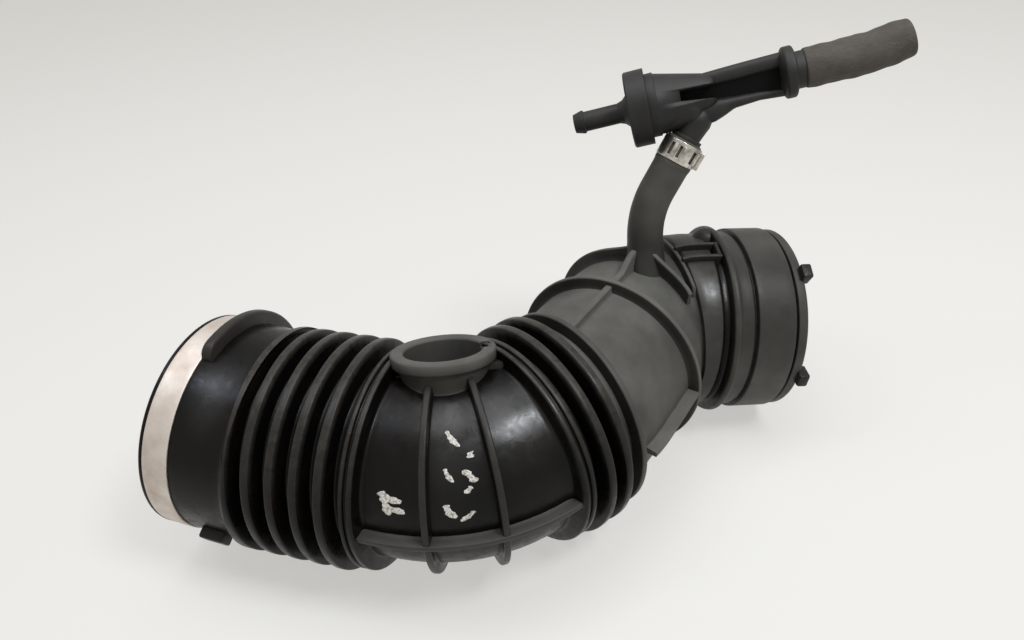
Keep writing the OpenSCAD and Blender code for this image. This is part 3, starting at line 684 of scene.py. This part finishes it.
inletLugs = {
    # the hook's angles, its two sides along the duct, and its radii in and above the cuff
    "from": 15, "sweep": 89, "ease": 7, "near": -25.0, "far": -21.0, "sunk": 42, "high": 49.0,
    # the foot's spans along, across and up
    "foot": ((-18.5, -8.2), (-4, 4), (41.5, 47.4)), "footAngle": 208, "footAt": -20.0,
}


def blockShape(lengths, widths, heights, place, radius=0.8):
    # a block with rounded edges: rounded outline in (along, across), carried up with a drawn-in top ring
    (l0, l1), (w0, w1), (h0, h1) = lengths, widths, heights
    outline = roundedLine([(l0, w0), (l1, w0), (l1, w1), (l0, w1)], radius, 4, closed=True)
    middle = np.array([(l0 + l1) / 2, (w0 + w1) / 2])
    levels = np.array([h0, h0 + (h1 - h0) * 0.5, h1 - radius, h1 - radius * 0.3, h1])[:, None]
    inset = np.array([0, 0, 0, radius * 0.3, radius])[:, None]
    scale = 1 - inset / (np.array([l1 - l0, w1 - w0]) / 2)
    grid = middle + (outline[None] - middle) * scale[:, None]
    return gridShape(place(grid[..., 0], grid[..., 1], levels + 0 * grid[..., 0]), worn=0.3, dust=0.1)


def makeLugs(v):
    # the hook rises from the cuff in a quarter circle at both ends: rise = sqrt(1 - (1 - t)^2)
    a = np.linspace(0, v["sweep"], 60)[:, None]
    t = np.clip(np.minimum(a, v["sweep"] - a) / v["ease"], 0, 1)
    section = roundedLine([(v["near"], v["sunk"]), (v["near"], v["high"]), (v["far"], v["high"]),
                           (v["far"] + 0.6, v["sunk"])], [0, 1.2, 1.2, 0], 4, closed=True)[None]
    radius = v["sunk"] + (section[..., 1] - v["sunk"]) * (0.1 + 0.9 * np.sqrt(1 - (1 - t) ** 2))
    hook = gridShape(aroundDuct(section[..., 0], 0, radius, np.radians(v["from"] + a)), worn=0.3, dust=0.2)
    return joinShapes([hook, blockShape(*v["foot"], onDuct(v["footAt"], v["footAngle"], ahead=-v["footAt"]))])


ductPiece("inletLugs", makeLugs(inletLugs))


# the side port on the middle bend

sidePort = {
    "at": 71.42, "lean": 20.0, "bore": 15.0, "neck": 18.4, "neckFoot": 17.0, "rim": 20.2,
    "rimFrom": 41.8, "rimTop": 46.2, "around": 96,
    "base": 25,  # the neck is drawn up from this height, and below it follows the bend
    "bendR": 42.0,
    "search": (5.0, 46.0),
    # spans along, across and up of the small step in the rim's inner edge, and of the bars beside the neck
    "nick": ((14.0, 17.2), (-1.5, 5.5), (44.2, 48.2)),
    "bars": (((15.4, 26.9), (-5.5, -1.1), (33, 41.2)), ((-24.4, -15.4), (-6, 3), (32, 38.7))),
}


def portFrame(v):
    place, forward, left, up = ductFrame(v["at"])
    lean = math.radians(v["lean"])
    return place, forward, towards(lean, left, -up), towards(lean, up, left)


def depthOnBend(v, r, a, target):
    # how far up the port's own line the distance to the duct's centre circle reaches the target, by halving
    place, forward, side, axis = portFrame(v)
    centrePlace, _, left, _ = ductFrame(ductPath["bendStart"])
    centre = centrePlace + v["bendR"] * left
    foot = place + r * towards(a[:, None], forward, side)
    low, high = (np.full(len(a), end) for end in v["search"])
    for _ in range(24):
        h = (low + high) / 2
        p = foot + h[:, None] * axis - centre
        d = np.hypot(np.hypot(p[:, 0], p[:, 1]) - v["bendR"], p[:, 2])
        low, high = np.where(d < target, h, low), np.where(d < target, high, h)
    return (low + high) / 2


def makePort(v, skinValues):
    # the neck's outline turned about its own line; below the rim it is let down to the bend:
    # height = foot(angle) + t (top - foot(angle))
    a = circleAngles(v["around"])
    place, forward, side, axis = portFrame(v)
    outerFoot = depthOnBend(v, v["neckFoot"] + 1.6, a, skinValues["bodyR"] - 0.9)
    innerFoot = depthOnBend(v, v["bore"], a, skinValues["bodyR"] - skinValues["wall"] + 0.3)
    base, rimFrom, rimTop = v["base"], v["rimFrom"] - v["base"], v["rimTop"] - v["base"]
    line = roundedLine([(v["neckFoot"] + 1.7, 0), (v["neckFoot"] + 0.2, 3.2), (v["neck"], rimFrom - 0.4),
                        (v["rim"], rimFrom), (v["rim"], rimTop), (v["bore"], rimTop), (v["bore"], 0)],
                       [0, 2.0, 0.5, 0.8, 1.1, 1.3, 0], 4, longest=4)
    r, h = line[:, :1], line[:, 1:]
    top = rimFrom - 1
    t = np.clip(h / top, 0, None)
    outerSide = np.arange(len(h))[:, None] <= np.argmax(h)
    foot = np.where(outerSide, outerFoot[None], innerFoot[None])
    height = np.where(t < 1, foot + t * (base + top - foot), base + h)
    points = place + height[..., None] * axis + r[..., None] * towards(a[None, :, None], forward, side)
    return gridShape(points, wrapRows=True, worn=0.1, dust=np.where(h > rimTop - 1.2, 1.0, 0.55))


def portCutter(v, low=22, high=48, clearance=0.6):
    # a plain closed cylinder up the port's line, a little wider than its bore
    place, _, _, axis = portFrame(v)
    x = np.cross(axis, [0.0, 0.1, 1.0])
    x /= np.linalg.norm(x)
    ring = (v["bore"] + clearance) * towards(circleAngles(64)[:, None], x, np.cross(axis, x))
    return gridShape(np.stack([place + low * axis + ring, place + high * axis + ring]))


cutHoles(skin, [portCutter(sidePort)])
onPort = onFrame(*portFrame(sidePort))
cutHoles(ductPiece("sidePort", makePort(sidePort, ductSkin)), [blockShape(*sidePort["nick"], onPort, 0.3)])
ductPiece("portBars", joinShapes([blockShape(*bar, onPort, 0.9) for bar in sidePort["bars"]]))
print("port built")


# outlet details: box rib, round bump and end tabs

outletDetails = {
    "angle": 101, "half": 5.3, "ends": (-7.0, 9.4),
    "rib": {"base": 38.9, "high": 44.2, "thick": 1.7, "dust": 0.3},
    "bumpAngle": 76, "bumpAt": 9.7, "bumpR": 6.0, "bumpHigh": 39.0, "bumpLong": 1.1,
    # spans along, across and up
    "boxEnd": ((7.7, 9.4), (-4.6, 4.6), (40, 44.2)),
    "tab": ((42.8, 47.5), (-3.3, 3.3), (39.2, 46.0)), "tabAngles": (120, 186),
}


def makeOutletDetails(v, out):
    shapes = [flangeRib(out + v["ends"][0], out + v["ends"][1], v["angle"] + side * v["half"], **v["rib"])
              for side in (-1, 1)]
    shapes.append(blockShape(*v["boxEnd"], onDuct(out, v["angle"]), 0.5))
    # the bump: a dome, radius times (sin, cos) of the angle from its top
    u, w, r = circleAngles(32)[None], np.linspace(0, np.pi * 0.62, 14)[1:, None], v["bumpR"]
    dome = onDuct(out, v["bumpAngle"])(v["bumpAt"] + r * np.sin(w) * np.cos(u) * v["bumpLong"],
                                       r * np.sin(w) * np.sin(u), v["bumpHigh"] + r * np.cos(w) + 0 * u)
    shapes.append(gridShape(dome, dust=0.4))
    return joinShapes(shapes + [blockShape(*v["tab"], onDuct(out, angle), 0.9) for angle in v["tabAngles"]])


ductPiece("outletDetails", makeOutletDetails(outletDetails, ductPath["outletStart"]))
print("outlet details built")


# the branch pipe, moulded in one with the elbow

pumpPlace = np.array([154.971, 122.795, 96.945])  # where the cap meets the nipple, millimetres
pumpAlong = np.array([0.9575, 0.17401, 0.23005])  # from the nipple towards the end hose
pumpSide = np.array([-0.09061, 0.93862, -0.33285])
pumpUp = np.array([-0.27385, 0.29786, 0.91449])

branchPipe = {
    "meet": 35.7, "angle": 49.4, "reach": 22.7,
    "top": 22.9, "bendR": 42.0, "bend": 30.6, "foot": 17.5,
    "r": 7.9, "flareR": 9.6, "around": 64, "step": 0.05,
    "swellAt": 10.6, "swell": 0.35,  # where the rubber swells beside the clamp
}


def branchHeading(v):
    # down the pipe from its top end, and square to that, towards the inside of its bend
    turn = math.radians(v["angle"])
    return -towards(turn, pumpAlong, pumpUp), towards(turn, -pumpUp, pumpAlong)


def branchFrames(v, t):
    # frames at distances down the pipe; its heading turns evenly along the bend
    down, left = branchHeading(v)
    start = pumpPlace + v["meet"] * pumpAlong + v["reach"] * down
    arc = v["bendR"] * math.radians(v["bend"])
    fine = np.arange(0, v["top"] + arc + v["foot"] + v["step"], v["step"])
    heading = np.radians(np.interp(fine, [v["top"], v["top"] + arc], [0, v["bend"]]))
    turned = np.stack([np.cos(heading), np.sin(heading)], -1)
    place2 = np.concatenate([np.zeros((1, 2)), np.cumsum((turned[1:] + turned[:-1]) / 2 * v["step"], 0)])
    at = np.stack([np.interp(t, fine, place2[:, k]) for k in (0, 1)], -1)
    h = np.interp(t, fine, heading)[..., None]
    place = start + at[..., :1] * down + at[..., 1:] * left
    forward, normal = towards(h, down, left), towards(h, left, -down)
    return place, forward, normal, np.cross(forward, normal)


def makeBranch(v):
    # point = place + r (cos a normal + sin a across), with r over the distance
    total = v["top"] + v["bendR"] * math.radians(v["bend"]) + v["foot"]
    t = np.concatenate([[0, 0.15, 0.5, 1.0], np.linspace(2, total, 90)])
    flare = np.clip((t - (total - v["foot"])) / v["foot"], 0, 1)
    r = v["r"] + (v["flareR"] - v["r"]) * flare ** 1.6 - 0.8 * np.clip(1 - t, 0, 1) ** 2
    r = (r + v["swell"] * np.exp(-((t - v["swellAt"]) / 1.2) ** 2))[:, None, None]
    # less dust down towards the pipe's foot: cleaner there, and darker there as painted shade
    dust = readTable(t, ((0, 0.95), (25, 0.85), (total - 14, 0.25), (total, 0.4)))
    place, _, normal, across = (k[:, None] for k in branchFrames(v, t))
    a = circleAngles(v["around"])[None, :, None]
    return gridShape(place + r * towards(a, normal, across), dust=dust[:, None])


ductPiece("branchPipe", makeBranch(branchPipe))
print("branch pipe built")


# the ear clamp on the branch pipe

pressedSteel = {"light": "#D8D3CA", "dark": "#8F8A82", "roughness": (0.26, 0.4),
                "stain": (4, 4, 0.6, 0, 0.36, 0.68), "grain": (0.5, 2, 0.5, 0)}
rolledAluminium = {"light": "#D9D2CB", "dark": "#C4B8AF", "roughness": (0.56, 0.7),
                   "stain": (12, 4, 0.6, 0, 0.36, 0.68), "grain": (0.4, 2, 0.5, 0)}


def makeMetal(name, v):
    # strip metal: an even sheen that soft stains dull a little, and fine rolling marks
    material, add, _, ramp, grain = patternMaterial(name, v["stain"], v["grain"])
    colour = add("Mix", tones(v["light"], v["dark"]), {0: ramp})
    rough = add("MapRange", limits("To", v["roughness"]), {"Value": ramp})
    bump = add("Bump", {"Strength": 0.2, "Distance": 0.00004}, {"Height": grain})
    return finishMaterial(material, {"Metallic": 1.0}, {"Base Color": (colour, 2), "Roughness": rough, "Normal": bump})


clampSteel = makeMetal("pressedStainless", pressedSteel)
bandMetal = makeMetal("rolledAluminium", rolledAluminium)

earClamp = {
    "from": 0.8, "width": 8.9, "thick": 0.7, "r": 7.9, "windowEdge": 1.8, "hookEdge": 1.5, "earEdge": 0.7,
    "hookHigh": 0.75, "earHigh": 1.2,
    # angle round the pipe and half width, in degrees; 90 faces the photograph's camera
    "windows": ((119, 4.5), (92, 4.5), (45, 7)),
    "hooks": ((106, 6), (79, 6.5), (31, 5)),
    "ears": ((14, 3.3), (-2, 2.4)),
}


def pipeEnd(pipe):
    return (k[0] for k in branchFrames(pipe, np.array([0.0])))


def onBranch(pipe, angle):
    # a local frame on the pipe's top end: along, round and radial
    place, forward, normal, across = pipeEnd(pipe)
    a = math.radians(angle)
    return onFrame(place, forward, towards(a, across, -normal), towards(a, normal, across))


def makeStrap(v, pipe):
    # the strap's section turned about the pipe: point = place + t forward + r (cos a normal + sin a across)
    section = rectangle(v["from"], v["from"] + v["width"], v["r"] + 0.02, v["r"] + v["thick"])
    section = roundedLine(section, 0.25, 3, closed=True, longest=1.5)
    a = circleAngles(96)[:, None, None]
    place, forward, normal, across = pipeEnd(pipe)
    points = place + section[None, :, :1] * forward + section[None, :, 1:] * towards(a, normal, across)
    return gridShape(points, wrapRows=True)


def clampBlocks(v, pipe, places, edge, low, high, radius):
    # blocks on the strap, given by angle and half width
    reach = lambda half: math.radians(half) * v["r"]
    return [blockShape((v["from"] + edge, v["from"] + v["width"] - edge), (-reach(half), reach(half)),
                       (v["r"] + low, v["r"] + high), onBranch(pipe, angle), radius) for angle, half in places]


def makeClamp(v, pipe, material):
    strap = addPiece("earClamp", makeStrap(v, pipe), material, "clamp_steel", "ear_clamp")
    cutHoles(strap, clampBlocks(v, pipe, v["windows"], v["windowEdge"], -0.3, 1.2, 0.15))
    top = v["thick"] + v["hookHigh"]
    hooks = clampBlocks(v, pipe, v["hooks"], v["hookEdge"], 0.2, top, 0.3)
    ears = clampBlocks(v, pipe, v["ears"], v["earEdge"], 0.2, top + v["earHigh"], 0.3)
    addPiece("clampHooks", joinShapes(hooks + ears), material, "clamp_steel", "ear_clamp")


makeClamp(earClamp, branchPipe, clampSteel)


# the metal band on the inlet cuff

inletBand = {"from": -35.6, "to": -25.1, "r": 43.41, "thick": 0.85, "dent": 0.12}


def makeBand(v):
    # a thin ring whose outside is pressed in a little, unevenly: r = outside - dent * waves(angle, distance)
    a = circleAngles(180)[:, None]
    section = roundedLine(rectangle(v["from"], v["to"], v["r"], v["r"] + v["thick"]), 0.3, 3, closed=True, longest=1.2)
    s, r = section[None, :, 0], section[None, :, 1]
    wave = 0.5 + 0.5 * np.sin(5 * a + 0.5 * s) * np.cos(3 * a + 1.3)
    r = np.where(r > v["r"] + 0.3, r - v["dent"] * wave, r)
    return gridShape(aroundDuct(s, 0, r, a), wrapRows=True)


addPiece("inletBand", makeBand(inletBand), bandMetal, "band_metal", "inlet_band")
print("clamp and band built")


# dabs and short strokes of white marker paint on the middle bend

paintStrokes = {
    # distance along and angle of both ends, half width in millimetres
    "strokes": ((58.3, 151.5, 61.9, 157.5, 1.15), (59.0, 159.5, 62.7, 163.5, 1.0), (58.1, 155.0, 60.2, 164.5, 0.8),
                (71.8, 119.0, 74.8, 128.0, 0.65), (76.7, 131.5, 77.2, 134.5, 0.7), (71.2, 138.5, 72.6, 146.0, 0.5),
                (75.4, 140.0, 76.6, 147.5, 0.75), (74.4, 152.0, 76.3, 149.5, 0.6), (71.0, 157.5, 72.3, 166.0, 0.75),
                (73.6, 168.5, 75.7, 162.5, 0.6)),
    "thick": 0.09,
    "white": "#E3DFD8", "thin": "#8F8B85", "roughness": 0.5,
    "scratch": (0.8, 4, 0.65, 0, 0.42, 0.62),
}


def makePaint(v, r):
    # each stroke is a flat bead: half width * sin(u) across and thickness * cos(u) up, drawn out along its line
    shapes = []
    u, t = circleAngles(16)[None], np.linspace(0, 1, 26)[:, None]
    for s0, a0, s1, a1, half in v["strokes"]:
        width = half * np.sqrt(np.clip(1 - (2 * t - 1) ** 6, 0.02, 1))
        width = width * (1 + 0.22 * np.sin(9 * t + s0) + 0.12 * np.sin(23 * t + a0))
        alongMm, roundMm = s1 - s0, math.radians(a1 - a0) * r
        length = math.hypot(alongMm, roundMm)
        side = np.sin(u) * width + 0.5 * half * np.sin(3.1 * t + a0)
        s = s0 + alongMm * t - side * roundMm / length
        a = np.radians(a0) + (roundMm * t + side * alongMm / length) / r
        shapes.append(gridShape(aroundDuct(s, 0, r + v["thick"] * np.cos(u), a)))
    return joinShapes(shapes)


def makePaintMaterial(v):
    # dried marker paint, thick and thin, so the rubber shows grey through it
    material, add, _, ramp = patternMaterial("driedPaintMarker", v["scratch"])
    colour = add("Mix", tones(v["white"], v["thin"]), {0: ramp})
    return finishMaterial(material, {"Roughness": v["roughness"]}, {"Base Color": (colour, 2)})


addPiece("paintStrokes", makePaint(paintStrokes, ductSkin["bodyR"]), makePaintMaterial(paintStrokes), None)
print("paint strokes built")


# the end hose: worn rubber over fabric

endHose = {
    "start": 71.0, "straight": 20.0, "bendR": 60.0, "bend": 8.0, "tail": 12.0,
    "r": 8.1, "bore": 5.3, "around": 72,
    "swell": ((0, -0.15), (6, 0.05), (20, 0.1), (34, 0.0), (40.4, -0.55)),  # millimetres along, and on the radius
}

wornHose = {
    "dark": "#3A3632", "faded": "#4B4640", "pale": "#5E5952", "roughness": 0.8,
    "patch": (10, 5, 0.65, 0, 0.34, 0.66), "thread": (0.7, 3, 0.7, 0), "threadSpan": (0.45, 0.75), "threadShare": 0.55,
    "turn": {"Rotation": (0, -0.25, 0.18), "Scale": (0.25, 1, 1)},  # along the hose, drawn out four times
}


def makeHoseRubber(v):
    # fabric-reinforced rubber, faded brown-grey and chalky, with lengthwise scuffs and the cloth showing through
    material, add, _, ramp, thread = patternMaterial("wornFabricHose", v["patch"], v["thread"], turn=v["turn"])
    fine = add("MapRange", {**limits("From", v["threadSpan"]), "To Max": v["threadShare"]}, {"Value": thread})
    base = add("Mix", tones(v["dark"], v["faded"]), {0: ramp})
    colour = add("Mix", tones(v["pale"]), {0: fine, 6: (base, 2)})
    bump = add("Bump", {"Strength": 0.35, "Distance": 0.0001}, {"Height": thread})
    return finishMaterial(material, {"Roughness": v["roughness"], "IOR": 1.5},
                          {"Base Color": (colour, 2), "Normal": bump})


def makeHose(v):
    # frames along a straight, a slight upward bend and a straight; r = base + swell(t) + small waves
    arc = v["bendR"] * math.radians(v["bend"])
    total = v["straight"] + arc + v["tail"]
    line = roundedLine(rectangle(0, total, v["bore"], v["r"]), [0, 1.0, 1.3, 0], 4, longest=0.8)
    line = np.concatenate([line, np.stack([np.linspace(total, 0, 30), np.full(30, v["bore"])], -1)[1:-1]])
    t, r = line[:, :1], line[:, 1:]
    h = np.radians(np.interp(t, [v["straight"], v["straight"] + arc], [0, v["bend"]]))
    past = np.clip(t - v["straight"] - arc, 0, None)
    x = v["start"] + np.minimum(t, v["straight"]) + v["bendR"] * np.sin(h) + past * np.cos(h)
    z = v["bendR"] * (1 - np.cos(h)) + past * np.sin(h)
    up = towards(h, pumpUp, -pumpAlong)
    a = circleAngles(v["around"])[None]
    waves = (readTable(t, v["swell"]) + 0.12 * np.sin(0.42 * t + 2 * a) + 0.09 * np.sin(0.9 * t - 3 * a + 1) - 0.12)
    radius = r + np.where(r > v["bore"] + 0.3, waves * (r - v["bore"]) / (v["r"] - v["bore"]), 0)
    place = pumpPlace + x * pumpAlong + z * pumpUp
    points = place[:, None] + radius[..., None] * towards(a[..., None], up[:, None], pumpSide)
    return gridShape(points, wrapRows=True)


addPiece("endHose", makeHose(endHose), makeHoseRubber(wornHose), "hose_rubber", "end_hose")
print("end hose built")


# the jet pump: cap, body and tail

pumpNylon = {
    "dark": "#0F0F0F", "grey": "#282724", "deep": "#050505", "roughness": (0.5, 0.65), "sheen": (0.5, 0.12),
    "patch": (14, 4, 0.6, 0, 0.35, 0.7), "grain": (0.35, 2, 0.5, 0), "edgeMm": 0.5,
}


def makeNylon(v):
    # moulded glass-filled nylon: dark grey, dull, fine even grain, faintly dusty, edges softened, and near black on
    # the recessed web between the tubes as painted shade
    material, add, _, ramp, grain = patternMaterial("mouldedNylon", v["patch"], v["grain"])
    slot = (add("Attribute", {"attribute_name": "slot"}), "Fac")
    base = add("Mix", tones(v["dark"], v["grey"]), {0: ramp})
    colour = add("Mix", tones(v["deep"]), {0: slot, 6: (base, 2)})
    rough = add("MapRange", limits("To", v["roughness"]), {"Value": ramp})
    sheen = add("MapRange", limits("To", v["sheen"]), {"Value": slot})
    soft = add("Bevel", {"Radius": v["edgeMm"] * mm})
    bump = add("Bump", {"Strength": 0.25, "Distance": 0.00005}, {"Height": grain, "Normal": soft})
    return finishMaterial(material, {"IOR": 1.42}, {"Base Color": (colour, 2), "Roughness": rough,
                                                    "Specular IOR Level": sheen, "Normal": bump})


pumpBody = {
    # millimetres along the pump and radius, then corner radius
    "cone": ((5.4, 12.7, 0), (8.4, 12.7, 0), (8.4, 13.2, 0), (12, 13.2, 0.5), (12.1, 12.6, 0.2), (33, 7.6, 3.0),
             (36, 6.0, 2.0), (36.5, 1.0, 0)),
    "barrel": ((11, 8.3, 0.4), (26.5, 8.3, 3.0), (30, 5.5, 2.0), (30.6, 1.0, 0)), "barrelDrop": -4.3,
    "collar": ((61.5, 6.5, 0), (62.6, 8.8, 0.5), (63.3, 10.3, 0.8), (67.0, 10.3, 0.8), (67.6, 8.6, 0.4),
               (67.7, 7.4, 0.2), (71.0, 7.4, 0.3), (71.1, 5.2, 0.1), (84, 5.2, 0.4)),
    "bore": 3.4,
    # along the pump, then middle height, half height and half width
    "upperBeam": ((20, 4.4, 2.9, 3.1), (30, 4.75, 3.05, 3.3), (46, 5.15, 3.15, 3.3), (63, 5.6, 3.0, 3.3)),
    "lowerBeam": ((20, -6.8, 4.4, 3.9), (28, -8.2, 4.9, 4.8), (34, -8.0, 4.6, 4.3), (38, -7.4, 3.7, 4.0),
                  (42.6, -6.6, 2.4, 3.4), (52.8, -6.5, 1.7, 2.8), (63, -7.5, 1.45, 2.5)),
    "web": ((20, 5, -6), (63, 5.5, -7.2)), "webHalf": 1.4,
    # where the dark slot beside the web starts and ends, with its upper and lower edges
    "slotEdges": ((21.5, 3.2, -1.2), (40, 2.8, -3.6), (62.4, 2.5, -6.3)), "slotReach": 20, "slotBite": 0.15,
    # distance from the pump's line, and radius
    "stub": ((7.6, 0.6), (8.0, 2.4), (8.8, 3.9), (10.2, 5.2), (12, 6.0), (14, 6.3), (18, 5.8), (21.0, 5.5),
             (21.2, 6.7), (22.7, 6.7)),
}

onPump = onFrame(pumpPlace, pumpAlong, pumpSide, pumpUp)


def pumpTurned(line, drop=0.0, inner=None):
    # a rounded outline turned about the pump's own line; with an inner radius it comes back along the bore
    v = np.array(line, float)
    outline = roundedLine(v[:, :2], v[:, 2], 4)
    if inner:
        outline = np.concatenate([outline, [[outline[-1, 0], inner], [outline[0, 0], inner]]])
    a = circleAngles(72)[None]
    x, r = outline[:, :1], outline[:, 1:]
    return gridShape(onPump(x + 0 * a, r * np.cos(a), r * np.sin(a) + drop), wrapRows=bool(inner))


def pumpBeam(line):
    # half width * |cos u|^0.8 across and half height * |sin u|^0.8 up, a rounded block carried along the pump
    v = np.array(line, float)
    x = np.linspace(v[0, 0], v[-1, 0], 40)[:, None]
    middle, high, wide = (np.interp(x, v[:, 0], v[:, k]) for k in (1, 2, 3))
    u = circleAngles(40)[None]
    square = lambda c: np.sign(c) * np.abs(c) ** 0.8
    return gridShape(onPump(x + 0 * u, wide * square(np.cos(u)), middle + high * square(np.sin(u))))


def pumpSlab(line, near, far, **data):
    # a four-cornered section between two side planes, from its upper and lower edges
    v = np.array(line, float)
    x, y = np.broadcast_arrays(v[:, :1], [near, near, far, far])
    return gridShape(onPump(x, y, v[:, [1, 2, 2, 1]]), **data)


def makeStub(v, pipe):
    # the branch spigot: radius over distance from the pump's line, flowing into the barrel
    down, side = branchHeading(pipe)
    t, r = np.transpose(v["stub"])[..., None]
    a = circleAngles(56)[:, None]
    middle = pumpPlace + pipe["meet"] * pumpAlong + t * down
    return gridShape(middle[:, None] + r[..., None] * towards(a, side, pumpSide)[None])


def makePump(v, pipe, material):
    web = v["webHalf"]
    slots = [pumpSlab(v["slotEdges"], side * v["slotReach"], side * (web - v["slotBite"])) for side in (-1, 1)]
    for name, shape in {"pumpCone": pumpTurned(v["cone"]),
                        "pumpBarrel": pumpTurned(v["barrel"], drop=v["barrelDrop"])}.items():
        cutHoles(addPiece(name, shape, material, "pump_plastic", "pump_body"), slots)
    # the web between the tubes is marked for the nylon's near-black painted shade
    tail = joinShapes([pumpBeam(v["upperBeam"]), pumpBeam(v["lowerBeam"]), makeStub(v, pipe),
                       pumpSlab(v["web"], -web, web, slot=1.0), pumpTurned(v["collar"], inner=v["bore"])])
    addPiece("pumpTail", tail, material, "pump_plastic", "pump_body")


nylon = makeNylon(pumpNylon)
makePump(pumpBody, branchPipe, nylon)
flapRubber = makeRubber("softFlapRubber", mouldedRubber, dusty=0.2)
for nodeName, material in {"pump_cap": nylon, "valve_flap": flapRubber}.items():
    nodes[nodeName].data.materials.clear()
    nodes[nodeName].data.materials.append(material)
print("pump built")
